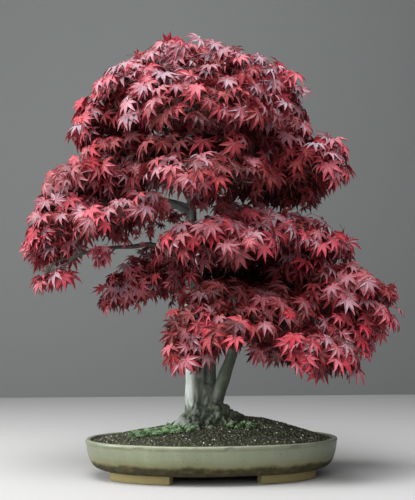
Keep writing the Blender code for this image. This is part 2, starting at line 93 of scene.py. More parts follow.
# ---------------------------------------------------------------- limbs, in millimetres
# Each is a name, its radius at the start and the end, and the points it runs through.
STEMS = (
    ("left_stem", 19.0, 3.0, ((-33, -8, 66), (-32, -1, 105), (-31, 0, 140), (-30, 0, 178), (-32, 0, 235),
                              (-33, 0, 310), (-36, 0, 395), (-35, 0, 470), (-30, 0, 548), (-18, 2, 640),
                              (-10, 4, 712), (-8, 0, 745))),
    ("middle_stem", 13.0, 4.5, ((-8, 8, 74), (-4, 12, 120), (-3, 15, 150), (-2, 18, 185), (3, 32, 255),
                                (8, 60, 320), (20, 92, 372), (60, 118, 402), (110, 128, 415))),
    ("right_stem", 13.5, 3.0, ((0, 3, 80), (5, 0, 112), (15, 0, 148), (34, 0, 200), (52, 0, 250),
                               (84, -6, 290), (130, -14, 306), (185, -16, 300), (240, -14, 288))),
    ("stem_web", 20.0, 7.0, ((2, 2, 90), (4, 3, 122), (6, 4, 148))),
    ("root_base", 46.0, 8.0, ((-12, 2, 60), (-11, 3, 85), (-11, 4, 110), (-9, 6, 136), (-6, 8, 156))),
)
ROOTS = (
    ("left_root", 18.0, 6.0, ((-30, -4, 108), (-50, -10, 90), (-68, -18, 74), (-86, -26, 60))),
    ("front_left_root", 16.0, 6.0, ((-28, -8, 106), (-37, -28, 88), (-44, -48, 72), (-50, -64, 58))),
    ("front_root", 15.0, 5.5, ((-8, 0, 106), (-5, -26, 88), (-2, -46, 73), (2, -62, 58))),
    ("front_right_root", 16.0, 5.5, ((6, 0, 108), (20, -20, 94), (36, -36, 80), (52, -48, 64))),
    ("right_root", 15.0, 5.0, ((10, 2, 114), (32, 6, 103), (56, 10, 92), (82, 14, 74))),
    ("back_right_root", 15.0, 5.5, ((4, 12, 110), (22, 34, 100), (38, 52, 88), (54, 68, 70))),
    ("back_left_root", 16.0, 6.0, ((-26, 8, 108), (-40, 32, 90), (-52, 52, 74), (-62, 68, 58))),
)
BRANCHES = (
    ("left_low", 6.0, 1.8, ((-36, 0, 356), (-72, -8, 388), (-106, -20, 405), (-138, -30, 400),
                            (-200, -46, 393), (-270, -56, 370))),
    ("left_low_tip", 3.4, 1.8, ((-204, -46, 392), (-236, -50, 380), (-268, -56, 352))),
    ("left_high", 8.0, 3.0, ((-35, 0, 462), (-72, -8, 482), (-106, -20, 484), (-160, -16, 486),
                             (-225, -6, 486))),
    ("left_front", 5.0, 2.5, ((-108, -20, 484), (-138, -60, 466), (-165, -102, 440))),
    ("left_outer", 4.5, 2.5, ((-172, -15, 486), (-232, -18, 462), (-282, -18, 436))),
    ("left_back", 6.5, 3.0, ((-35, 0, 474), (-80, 40, 494), (-150, 88, 508), (-220, 118, 506))),
    ("mid_left", 6.5, 3.0, ((-33, 0, 316), (-60, 24, 338), (-96, 52, 352), (-146, 70, 352))),
    ("skirt_left", 6.5, 3.0, ((-33, 0, 508), (-92, -6, 544), (-170, -10, 568))),
    ("skirt_front", 6.0, 3.0, ((-34, 0, 452), (-32, -60, 470), (-18, -150, 492))),
    ("skirt_back_left", 6.0, 3.0, ((-32, 0, 526), (-70, 56, 562), (-140, 130, 590))),
    ("skirt_back_right", 6.5, 3.0, ((-32, 0, 534), (6, 66, 564), (66, 150, 592))),
    ("shoulder", 8.0, 3.0, ((-34, 0, 492), (28, -6, 524), (100, -14, 546), (176, -18, 550))),
    ("crown_left", 5.5, 2.5, ((-29, 0, 566), (-84, -8, 618), (-150, -12, 648))),
    ("crown_right", 5.5, 2.5, ((-28, 0, 576), (36, -6, 628), (106, -10, 656))),
    ("crown_front", 5.5, 2.5, ((-26, 0, 560), (-22, -76, 592), (-16, -156, 606))),
    ("crown_back", 5.5, 2.5, ((-24, 0, 600), (-14, 80, 650), (-4, 158, 690))),
    ("mid_right", 8.5, 3.0, ((-36, 0, 376), (26, -14, 396), (98, -30, 410), (168, -36, 414))),
    ("mid_front", 6.5, 3.0, ((-35, 0, 366), (-18, -62, 384), (10, -138, 402))),
    ("low_front", 5.0, 2.5, ((48, 0, 232), (50, -60, 246), (48, -150, 250))),
    ("low_left_front", 5.0, 2.5, ((-32, 0, 206), (-42, -56, 216), (-46, -110, 224))),
    ("low_back", 6.0, 3.0, ((0, 24, 222), (44, 78, 248), (110, 122, 268))),
    ("low_right_front", 4.5, 2.5, ((110, -10, 302), (148, -70, 262), (176, -142, 216))),
)
# Small roots, knuckles and old pruning stubs, which give the base its gnarled look.
KNOTS = (
    ("pale_root_stub", 5.0, 3.2, ((-24, -34, 92), (-25, -50, 80), (-27, -64, 70), (-29, -74, 63))),
    ("side_root", 6.0, 2.6, ((-52, -12, 88), (-64, -4, 80), (-78, 2, 72), (-92, 6, 62))),
    ("creeping_root", 6.5, 2.4, ((40, -30, 84), (62, -34, 79), (82, -30, 76), (102, -32, 68))),
    ("far_right_root", 7.0, 2.6, ((52, 8, 94), (74, 6, 87), (94, 12, 82), (112, 10, 74))),
    ("crossing_root", 6.5, 3.4, ((-4, -36, 84), (12, -44, 80), (28, -54, 74), (40, -66, 64))),
    ("old_knot", 8.0, 5.5, ((-30, -10, 122), (-31, -19, 121), (-31, -25, 119))),
    ("pruned_stub_low", 6.5, 4.6, ((4, -6, 116), (7, -18, 117), (8, -25, 116))),
    ("pruned_stub_high", 6.0, 3.6, ((-28, 0, 262), (-20, -12, 266), (-15, -18, 268))),
    ("pruned_stub_left", 5.5, 3.4, ((-34, 0, 424), (-48, -8, 430), (-56, -12, 431))),
    ("branch_knuckle", 9.0, 6.0, ((-66, -6, 383), (-73, -9, 389), (-80, -11, 394))),
)
# Twigs that show in the open places between the pads, in the same form.
SHOWN_TWIGS = (
    ((-106, -20, 405), (-112, -28, 420), (-108, -34, 436)),
    ((-138, -30, 400), (-150, -40, 414), (-160, -52, 430)),
    ((-80, -8, 392), (-84, -18, 408), (-92, -24, 424)),
    ((-40, -4, 440), (-62, -18, 452), (-78, -28, 446)),
    ((-170, -36, 396), (-182, -44, 382), (-190, -50, 370)),
)

# ---------------------------------------------------------------- leaves
LEAF_REACH = 0.0288         # from the leaf's base to the tip of its middle lobe
LEAF_LOBES = ((-118, 0.44), (-77, 0.78), (-38, 0.95), (0, 1.0), (38, 0.95), (77, 0.78), (118, 0.44))
LEAF_SINUS = 0.33           # how near the base the cuts between the lobes come
LOBE_WIDTH = 0.134
LEAF_KINDS = 6
STALK_REACH = 0.70          # length of the leaf stalk against the leaf's reach
STALK_RADIUS = 0.022
PAD_DROOP = 0.30
PAD_UNDERSIDE = 0.62
PAD_INSET = np.array([0.012, 0.018, 0.006])     # leaf bases stand this far inside the crown's outline
PAD_REACH = 0.010                               # and this far out towards the next pad
PAD_FOOT = 0.024                                # leaves hang below their base by about this much
SHELF_SCALE = np.array([15.0, 15.0, 40.0])      # leaves gather in shelves: how many to a metre, each way
SHELF_PROUD = 0.026                             # how far the shelves stand out and the gaps lie back
SHELF_OPEN = -0.17                              # below this much shelf there are no outer leaves
# Shells of leaves in a pad: share of its size, leaves for each square metre of the outer surface.
PAD_SHELLS = ((1.0, 1950), (0.80, 1050), (0.56, 520))
# A pad's leaves: size, how light (partly painted shade), how many vivid ones (partly painted glow) and how dusty,
# with painted sky sheen. Some pads have their own.
# Here and in the tables below a pad goes by its name without "leaves_".
PAD_PLAIN = (1.0, 0.50, 0.10, 0.60)
PAD_LOOKS = {
    "apex": (1.0, 0.80, 0.10, 1.10),
    "crown_left": (1.0, 0.84, 0.20, 1.15),
    "crown_right": (1.0, 0.66, 0.10, 1.00),
    "crown_front": (1.05, 0.66, 0.10, 1.10),
    "skirt_left": (0.95, 0.44, 0.28, 0.50),
    "skirt_front": (1.05, 0.42, 0.06, 0.70),
    "shoulder_right": (1.0, 0.82, 0.22, 1.10),
    "left_upper": (1.0, 0.52, 0.18, 0.65),
    "left_front": (1.0, 0.50, 0.18, 0.65),
    "left_outer": (1.0, 0.62, 0.28, 0.80),
    "left_tip": (1.0, 0.94, 0.24, 1.25),
    "mid_left": (0.80, 0.70, 0.16, 1.00),
    "mid_front": (1.05, 0.56, 0.16, 0.65),
    "mid_right": (1.0, 0.68, 0.22, 0.95),
    "low_right": (1.0, 0.66, 0.42, 0.55),
    "low_right_front": (1.0, 0.52, 0.42, 0.50),
    "low_front": (1.0, 0.24, 0.10, 0.34),
    "low_left_front": (0.95, 0.34, 0.10, 0.55),
    "low_centre": (0.85, 0.12, 0.05, 0.10),
}

# Foliage that bridges the pads, in millimetres: the pad it grows from, its box, then how light the leaves are (partly
# painted shade, nearly black deep in the crown), how many are vivid (partly painted glow), how dusty they are, with
# painted sky sheen, and how dense they stand.
BRIDGES = (
    ("crown_left", (-238, -70), (-130, 100), (626, 734), 0.70, 0.18, 1.10, 1.1),
    ("crown_left", (-196, -56), (-168, -70), (618, 716), 0.76, 0.18, 1.05, 0.9),
    ("crown_right", (50, 188), (-120, 100), (636, 726), 0.60, 0.10, 1.00, 0.9),
    ("crown_front", (-120, 110), (-176, -60), (636, 730), 0.64, 0.10, 1.00, 0.8),
    ("skirt_left", (-262, -120), (-110, 90), (566, 668), 0.54, 0.30, 0.65, 0.9),
    ("skirt_front", (-140, 110), (-180, -50), (522, 600), 0.20, 0.06, 0.25, 0.8),
    ("shoulder_right", (80, 200), (-110, 70), (566, 640), 0.66, 0.12, 1.00, 0.8),
    ("shoulder_right", (160, 256), (-90, 80), (536, 618), 0.76, 0.24, 1.05, 0.9),
    ("shoulder_right", (56, 204), (-70, 90), (476, 530), 0.06, 0.02, 0.05, 0.8),
    ("skirt_left", (-196, -60), (-130, 40), (490, 560), 0.42, 0.14, 0.55, 0.8),
    ("left_upper", (-312, -150), (-90, 80), (470, 580), 0.54, 0.24, 0.70, 0.9),
    ("left_outer", (-336, -210), (-80, 50), (392, 500), 0.56, 0.28, 0.75, 0.9),
    ("left_outer", (-322, -256), (-80, 20), (350, 408), 0.74, 0.28, 1.05, 0.9),
    ("left_front", (-270, -130), (-120, 10), (402, 480), 0.42, 0.18, 0.60, 0.8),
    ("mid_left", (-222, -120), (0, 110), (280, 350), 0.66, 0.22, 0.95, 1.0),
    ("mid_left", (-118, -34), (-30, 90), (288, 424), 0.46, 0.14, 0.60, 1.0),
    ("mid_front", (-76, 40), (-150, -30), (338, 400), 0.38, 0.12, 0.50, 0.8),
    ("mid_right", (60, 180), (-150, -20), (376, 458), 0.54, 0.20, 0.80, 0.8),
    ("mid_right", (4, 100), (-110, 0), (404, 482), 0.50, 0.20, 0.75, 0.9),
    ("mid_right", (150, 264), (-80, 40), (372, 456), 0.56, 0.24, 0.75, 0.8),
    ("mid_back", (-10, 220), (50, 160), (300, 400), 0.02, 0.00, 0.00, 1.1),
    ("low_centre", (-10, 190), (0, 110), (256, 350), 0.03, 0.00, 0.00, 1.1),
    ("low_left_front", (-74, 30), (-176, -70), (206, 318), 0.40, 0.08, 0.60, 0.9),
    ("low_front", (-30, 80), (-160, -60), (270, 346), 0.34, 0.06, 0.50, 0.8),
    ("low_front", (50, 200), (-160, -20), (236, 330), 0.34, 0.20, 0.34, 0.9),
    ("low_right", (200, 348), (-84, 66), (276, 374), 0.54, 0.42, 0.50, 0.9),
    ("low_right", (126, 262), (-70, 60), (300, 390), 0.40, 0.30, 0.50, 0.9),
    ("low_right", (180, 290), (-110, 20), (204, 284), 0.48, 0.36, 0.50, 0.9),
    ("low_right_front", (70, 190), (-196, -90), (172, 246), 0.48, 0.34, 0.55, 0.9),
)
BRIDGE_TILT = {"apex": -0.19}    # how fast the apex falls away to the right
# Slanting lines that bound the pads: pad, a point on the line in millimetres, and which way is out.
# Leaves beyond a line are left out, or pressed back to it in the pads of the crown's top.
TRIMS = (
    ("apex", (-120, 0, 742), (-0.40, 0.0, 0.92)),
    ("apex", (0, 0, 750), (0.0, 0.0, 1.0)),
    ("apex", (40, 0, 743), (0.26, 0.0, 0.97)),
    ("crown_left", (-160, 0, 703), (-0.59, 0.0, 0.81)),
    ("crown_right", (148, 0, 680), (0.864, 0.0, 0.503)),
    ("skirt_left", (-238, 0, 600), (-1.0, 0.0, 0.0)),
    ("shoulder_right", (222, 0, 518), (0.605, 0.0, -0.796)),
    ("shoulder_right", (216, 0, 580), (0.487, 0.0, 0.873)),
    ("left_front", (-130, 0, 440), (0.48, 0.0, -0.88)),
    ("left_upper", (-130, 0, 457), (0.48, 0.0, -0.88)),
    ("left_upper", (-264, 0, 540), (-0.735, 0.0, 0.677)),
    ("left_outer", (-266, 0, 540), (-0.735, 0.0, 0.677)),
    ("left_outer", (-320, 0, 410), (-1.0, 0.0, 0.0)),
    ("left_tip", (-304, 0, 340), (-0.95, 0.0, -0.31)),
    ("left_tip", (-250, 0, 340), (1.0, 0.0, 0.0)),
    ("left_tip", (-290, 0, 332), (0.20, 0.0, -0.98)),
    ("mid_left", (-160, 0, 374), (-0.60, 0.0, 0.80)),
    ("mid_front", (-45, 0, 428), (-0.48, 0.0, 0.88)),
    ("mid_right", (-45, 0, 434), (-0.48, 0.0, 0.88)),
    ("mid_right", (221, 0, 419), (0.65, 0.0, 0.76)),
    ("low_front", (0, 0, 236), (0.0, 0.0, -1.0)),
    ("low_left_front", (-75, 0, 240), (-1.0, 0.0, 0.0)),
    ("low_right", (280, 0, 208), (0.80, 0.0, -0.60)),
    ("low_right", (327, 0, 300), (1.0, 0.0, 0.0)),
    ("low_right", (330, 0, 277), (0.55, 0.0, -0.83)),
    ("low_right", (246, 0, 372), (0.58, 0.0, 0.814)),
    ("low_right_front", (240, 0, 200), (0.90, 0.0, -0.43)),
)
PRESSED = ("apex", "crown_left", "crown_right")
# Places that get no light, where the leaves stay nearly black: across and upward, in millimetres.
SHADED = (((-6, 190), (306, 366)), ((10, 190), (486, 526)), ((-100, 120), (580, 602)))

# ---------------------------------------------------------------- wood, twigs and seeds
WOOD_VOXEL = 0.0018
GNARLED_BELOW, GNARLED_FADE = 0.146, 0.050      # ridges and hollows fade out over this height
BURIED_BELOW = 0.0585                           # nothing swells under the soil
TRUNK_X = -0.033                                # wood away from here is darker: thinner wood, and painted shade under the crown
TWIGS_PER_AREA = 110
PRESS_DEPTH = 0.012
WOOD_SEED, TWIG_SEED, PRESS_SEED = 11, 23, 61
LEAF_KIND_SEED, TUFT_SEED, MOSS_SEED, PAD_SEED, BRIDGE_SEED = 100, 300, 700, 1000, 1100
UV_MARGIN = 0.06                                # round each thing in its square of the UV map

# ---------------------------------------------------------------- camera
CAMERA_DISTANCE, CAMERA_HEIGHT = 1.50, 0.221
CAMERA_SIDE = math.radians(-3.0)                # round the tree, away from the front
CAMERA_SWING = math.atan(0.0038415)             # the view turned off the tree's middle
CAMERA_TILT = math.atan(2.0 / 17.0)
CAMERA_ROLL = math.radians(0.3)
CAMERA_LENS = 39.984                            # in millimetres, for a frame 24 mm high

# ---------------------------------------------------------------- moss
MOSS_PATCHES = {"moss_left": 1.0, "moss_right": 0.55, "moss_back": 0.6}     # how bright each is
SPRIGS_PER_AREA = 1.45e6
SPRIG_HEIGHT = 0.0036


# ================================================================ node helpers
def find_socket(sockets, key):
    """A socket by its place, or by its name among those that are in use."""
    if isinstance(key, int):
        return sockets[key]
    for socket in sockets:
        if socket.name == key and socket.enabled:
            return socket
    raise KeyError(key)


def put(tree, kind, inputs=None, **choices):
    """Add a node, make its choices and feed its inputs from sockets or plain values."""
    node = tree.nodes.new(kind)
    for key, value in choices.items():
        setattr(node, key, value)
    for key, value in (inputs or {}).items():
        socket = find_socket(node.inputs, key)
        if isinstance(value, bpy.types.NodeSocket):
            tree.links.new(value, socket)
        else:
            socket.default_value = value
    return node


def attribute(tree, name):
    return put(tree, "ShaderNodeAttribute", attribute_name=name).outputs["Fac"]


def place(tree):
    return put(tree, "ShaderNodeTexCoord").outputs["Object"]


def stretched(tree, vector, scale):
    return put(tree, "ShaderNodeMapping", {"Vector": vector, "Scale": scale}).outputs["Vector"]


def cloud(tree, vector, scale, detail=3.0, roughness=0.55, distortion=0.0):
    return put(tree, "ShaderNodeTexNoise", {"Vector": vector, "Scale": scale, "Detail": detail,
                                            "Roughness": roughness, "Distortion": distortion}).outputs["Fac"]


def remap(tree, value, low, high, to_low=0.0, to_high=1.0):
    return put(tree, "ShaderNodeMapRange", {"Value": value, "From Min": low, "From Max": high,
                                            "To Min": to_low, "To Max": to_high}).outputs["Result"]


def sums(tree, operation, a, b=0.0):
    return put(tree, "ShaderNodeMath", {0: a, 1: b}, operation=operation).outputs[0]


def times(tree, a, b):
    return sums(tree, "MULTIPLY", a, b)


def plus(tree, a, b):
    return sums(tree, "ADD", a, b)


def blend_colour(tree, share, a, b):
    a = (*a, 1.0) if isinstance(a, tuple) else a
    b = (*b, 1.0) if isinstance(b, tuple) else b
    return put(tree, "ShaderNodeMix", {0: share, 6: a, 7: b}, data_type="RGBA").outputs[2]


def layered(tree, colour, *layers):
    """Lay colours over one another: each layer is a mask, a colour and, if not full, its strength."""
    for mask, over, *strength in layers:
        colour = blend_colour(tree, times(tree, mask, strength[0]) if strength else mask, colour, over)
    return colour


def blend_value(tree, share, a, b):
    return put(tree, "ShaderNodeMix", {0: share, 2: a, 3: b}, data_type="FLOAT").outputs[0]


def ramp(tree, share, stops):
    node = put(tree, "ShaderNodeValToRGB", {"Fac": share})
    elements = node.color_ramp.elements
    while len(elements) < len(stops):
        elements.new(0.5)
    for element, (position, colour) in zip(elements, stops):
        element.position = position
        element.color = (*colour, 1.0)
    return node.outputs["Color"]


def along_axis(tree, vector, axis):
    return put(tree, "ShaderNodeSeparateXYZ", {"Vector": vector}).outputs[axis]


def make_group(name, inputs, outputs):
    """A shader node group with named sockets; gives back the group and its two end nodes."""
    group = bpy.data.node_groups.new(name, "ShaderNodeTree")
    for label, kind, value in inputs:
        socket = group.interface.new_socket(label, in_out="INPUT", socket_type=kind)
        if value is not None:
            socket.default_value = value
    for label, kind in outputs:
        group.interface.new_socket(label, in_out="OUTPUT", socket_type=kind)
    return group, group.nodes.new("NodeGroupInput"), group.nodes.new("NodeGroupOutput")


def use_group(tree, group, inputs):
    node = tree.nodes.new("ShaderNodeGroup")
    node.node_tree = group
    for key, value in inputs.items():
        if isinstance(value, bpy.types.NodeSocket):
            tree.links.new(value, node.inputs[key])
        else:
            node.inputs[key].default_value = value
    return node


SOCKET_NAMES = {"base_color": "Base Color", "roughness": "Roughness", "normal": "Normal", "metallic": "Metallic",
                "specular": "Specular IOR Level"}


def new_material(name, roughness, **fixed):
    """A material with one Principled shader; plain numbers are set on the shader's own sockets."""
    material = bpy.data.materials.new(name)
    material.use_nodes = True
    tree = material.node_tree
    shader = tree.nodes["Principled BSDF"]
    shader.inputs["Roughness"].default_value = roughness
    for key, value in fixed.items():
        shader.inputs[SOCKET_NAMES[key]].default_value = value
    return material, tree, shader


def wire(tree, shader, **sockets):
    for key, value in sockets.items():
        tree.links.new(value, shader.inputs[SOCKET_NAMES[key]])


# ================================================================ shared effects
def make_mottle_group():
    """Uneven tone: one broad and one fine cloud of noise."""
    group, start, end = make_group("mottle", [("Vector", "NodeSocketVector", None),
                                              ("Broad Scale", "NodeSocketFloat", 20.0),
                                              ("Fine Scale", "NodeSocketFloat", 120.0),
                                              ("Fine Share", "NodeSocketFloat", 0.35)],
                                   [("Value", "NodeSocketFloat"), ("Broad", "NodeSocketFloat"),
                                    ("Fine", "NodeSocketFloat")])
    broad = cloud(group, start.outputs["Vector"], start.outputs["Broad Scale"], 3.0)
    fine = cloud(group, start.outputs["Vector"], start.outputs["Fine Scale"], 4.0, 0.65)
    value = blend_value(group, start.outputs["Fine Share"], broad, fine)
    group.links.new(value, end.inputs["Value"])
    group.links.new(broad, end.inputs["Broad"])
    group.links.new(fine, end.inputs["Fine"])
    return group


def make_speck_group():
    """Round specks scattered over a surface."""
    group, start, end = make_group("specks", [("Vector", "NodeSocketVector", None),
                                              ("Scale", "NodeSocketFloat", 200.0),
                                              ("Size", "NodeSocketFloat", 0.25),
                                              ("Share", "NodeSocketFloat", 0.2)],
                                   [("Mask", "NodeSocketFloat")])
    cell = put(group, "ShaderNodeTexVoronoi", {"Vector": start.outputs["Vector"],
                                               "Scale": start.outputs["Scale"]}, feature="F1")
    pick = put(group, "ShaderNodeSeparateColor", {"Color": cell.outputs["Color"]}).outputs[0]
    chosen = sums(group, "LESS_THAN", pick, start.outputs["Share"])
    near = sums(group, "LESS_THAN", cell.outputs["Distance"], start.outputs["Size"])
    group.links.new(times(group, chosen, near), end.inputs["Mask"])
    return group


MOTTLE = make_mottle_group()
SPECKS = make_speck_group()


def cell_edges(tree, vector, scale):
    return put(tree, "ShaderNodeTexVoronoi", {"Vector": vector, "Scale": scale},
               feature="DISTANCE_TO_EDGE").outputs["Distance"]


def bump(tree, height, strength, distance):
    return put(tree, "ShaderNodeBump", {"Height": height, "Strength": strength,
                                        "Distance": distance}).outputs["Normal"]


# ================================================================ materials
def glaze_material():
    """Thin celadon over ochre clay: runs and specks above, bare wavy clay at the foot and on the feet. Painted shade
    towards the ends and on the bare clay low on the bowl; a painted highlight along the rim.
    """
    material, tree, shader = new_material("celadon glaze", 0.36, specular=0.5)
    here = place(tree)
    height, across = along_axis(tree, here, "Z"), along_axis(tree, here, "X")
    mottle = use_group(tree, MOTTLE, {"Vector": here, "Broad Scale": 16.0, "Fine Scale": 90.0, "Fine Share": 0.3})
    runs = cloud(tree, stretched(tree, here, (60.0, 60.0, 9.0)), 1.0, 4.0, 0.6)
    glaze = ramp(tree, blend_value(tree, 0.35, mottle.outputs["Value"], runs),
                 ((0.24, (0.130, 0.146, 0.080)), (0.45, (0.184, 0.206, 0.124)),
                  (0.62, (0.240, 0.262, 0.170)), (0.82, (0.310, 0.330, 0.230))))
    # Painted shade: the glaze darker towards the right and at the left end.
    darker = plus(tree, remap(tree, across, -0.110, -0.205, 0.0, 0.55),
                  remap(tree, across, -0.120, 0.200, 0.0, 0.78))
    wavy_height = plus(tree, height, remap(tree, cloud(tree, here, 26.0, 4.0, 0.6), 0.25, 0.75, -0.0042, 0.0042))
    stained = remap(tree, wavy_height, 0.0430, 0.0320, 0.0, 0.80)
    bare = remap(tree, wavy_height, 0.0335, 0.0280)
    glaze = layered(tree, glaze, (darker, (0.120, 0.134, 0.092)), (stained, (0.150, 0.142, 0.050)))
    clay_tone = cloud(tree, here, 70.0, 5.0, 0.7)
    # Bare clay: ochre, painted much darker as shade low on the bowl; the feet below get a lighter ochre.
    clay = ramp(tree, clay_tone, ((0.30, (0.014, 0.010, 0.002)), (0.50, (0.034, 0.027, 0.006)),
                                  (0.72, (0.096, 0.076, 0.020))))
    clay = layered(tree, clay, (remap(tree, height, 0.0150, 0.0135), (0.370, 0.305, 0.130), 0.55))
    # Painted highlight: a pale line along the top of the rim.
    rim = remap(tree, height, 0.0630, 0.0647, 0.0, 0.22)
    chips = times(tree, remap(tree, height, 0.0555, 0.0600),
                  remap(tree, cloud(tree, stretched(tree, here, (34.0, 34.0, 150.0)), 1.0, 2.0, 0.4), 0.655, 0.69))
    specks = use_group(tree, SPECKS, {"Vector": here, "Scale": 260.0, "Size": 0.28, "Share": 0.10})
    craze = times(tree, remap(tree, cell_edges(tree, here, 210.0), 0.0, 0.035, 0.22, 0.0),
                  sums(tree, "SUBTRACT", 1.0, bare))
    body = layered(tree, blend_colour(tree, bare, glaze, clay), (rim, (0.600, 0.610, 0.520)),
                   (chips, (0.100, 0.095, 0.070), 0.8), (specks.outputs["Mask"], (0.070, 0.065, 0.040), 0.6),
                   (craze, (0.150, 0.145, 0.100)))
    rough = blend_value(tree, bare, remap(tree, mottle.outputs["Fine"], 0.2, 0.8, 0.26, 0.44), 0.94)
    relief = blend_value(tree, bare, mottle.outputs["Broad"], clay_tone)
    wire(tree, shader, base_color=body, roughness=rough, normal=bump(tree, relief, 0.35, 0.0012))
    return material


def soil_material():
    """Dark fired-clay granules, each a little different, with pale grit among them."""
    material, tree, shader = new_material("granular soil", 0.93, specular=0.25)
    grain = cloud(tree, place(tree), 900.0, 2.0, 0.6)
    tone = plus(tree, times(tree, attribute(tree, "grain_tone"), 0.8), times(tree, grain, 0.2))
    colour = ramp(tree, tone, ((0.10, (0.014, 0.015, 0.009)), (0.38, (0.044, 0.047, 0.029)),
                               (0.60, (0.118, 0.120, 0.080)), (0.80, (0.250, 0.248, 0.182)),
                               (0.90, (0.740, 0.730, 0.690)), (1.00, (0.880, 0.870, 0.840))))
    wire(tree, shader, base_color=colour, normal=bump(tree, grain, 0.5, 0.0006))
    return material


def bark_material():
    """Smooth silver-green maple bark: streaks up the limb, pale pores, a dark mossy foot. Painted light on the left
    side; painted shade on the right, in the clefts, round the foot and on the thinner wood under the crown.
    """
    material, tree, shader = new_material("silver bark", 0.68, specular=0.35)
    here = place(tree)
    height, aside = along_axis(tree, here, "Z"), along_axis(tree, here, "X")
    mottle = use_group(tree, MOTTLE, {"Vector": here, "Broad Scale": 22.0, "Fine Scale": 150.0, "Fine Share": 0.35})
    fine = mottle.outputs["Fine"]
    streaks = cloud(tree, stretched(tree, here, (120.0, 120.0, 16.0)), 1.0, 4.0, 0.6, 0.3)
    bark = ramp(tree, blend_value(tree, 0.5, mottle.outputs["Value"], streaks),
                ((0.30, (0.060, 0.066, 0.044)), (0.44, (0.165, 0.182, 0.142)),
                 (0.56, (0.300, 0.325, 0.280)), (0.70, (0.520, 0.550, 0.510))))
    pores = use_group(tree, SPECKS, {"Vector": stretched(tree, here, (1.0, 1.0, 2.6)), "Scale": 190.0,
                                     "Size": 0.24, "Share": 0.16}).outputs["Mask"]
    lichen = remap(tree, cloud(tree, here, 34.0, 5.0, 0.6), 0.60, 0.68, 0.0, 0.6)
    # Painted light: paler towards the left side. Painted shade: darker towards the right, greenish like algae.
    sunny = remap(tree, aside, -0.024, -0.046, 0.0, 0.55)
    shady = remap(tree, aside, -0.010, 0.020, 0.0, 0.80)
    bark = layered(tree, bark, (pores, (0.130, 0.115, 0.085), 0.45), (lichen, (0.460, 0.500, 0.430)),
                   (sunny, (0.600, 0.680, 0.655)), (shady, (0.040, 0.058, 0.034)),
                   # painted shade: the clefts nearly black
                   (attribute(tree, "hollow"), (0.022, 0.023, 0.014), 0.85))
    wavy_height = plus(tree, height, remap(tree, mottle.outputs["Broad"], 0.3, 0.7, -0.03, 0.03))
    # A dark mossy foot, weaker on the lit left side: partly its own colour, partly painted shade.
    low = times(tree, remap(tree, wavy_height, 0.156, 0.092, 0.0, 0.94),
                remap(tree, aside, -0.070, -0.040, 0.35, 1.0))
    foot = ramp(tree, fine, ((0.34, (0.010, 0.013, 0.006)), (0.50, (0.028, 0.038, 0.020)),
                             (0.64, (0.135, 0.160, 0.112))))
    green = times(tree, low, remap(tree, cloud(tree, here, 60.0, 3.0), 0.52, 0.66))
    bark = layered(tree, bark, (low, foot), (attribute(tree, "crest"), (0.250, 0.300, 0.235), 0.55),
                   (green, (0.070, 0.100, 0.035), 0.5),
                   # thinner wood under the crown: partly its own colour, partly painted shade
                   (attribute(tree, "thinness"), (0.046, 0.036, 0.026), 0.95))
    wire(tree, shader, base_color=bark, roughness=remap(tree, fine, 0.2, 0.8, 0.55, 0.82),
         normal=bump(tree, blend_value(tree, 0.5, streaks, fine), 0.5, 0.0010))
    return material


def moss_material():
    material, tree, shader = new_material("moss", 0.9, specular=0.2)
    tone = plus(tree, times(tree, attribute(tree, "sprig_tone"), 0.75),
                times(tree, cloud(tree, place(tree), 220.0, 2.0), 0.25))
    colour = ramp(tree, tone, ((0.12, (0.010, 0.022, 0.008)), (0.36, (0.044, 0.094, 0.032)),
                               (0.60, (0.150, 0.270, 0.115)), (0.86, (0.430, 0.590, 0.360))))
    wire(tree, shader, base_color=colour)
    return material


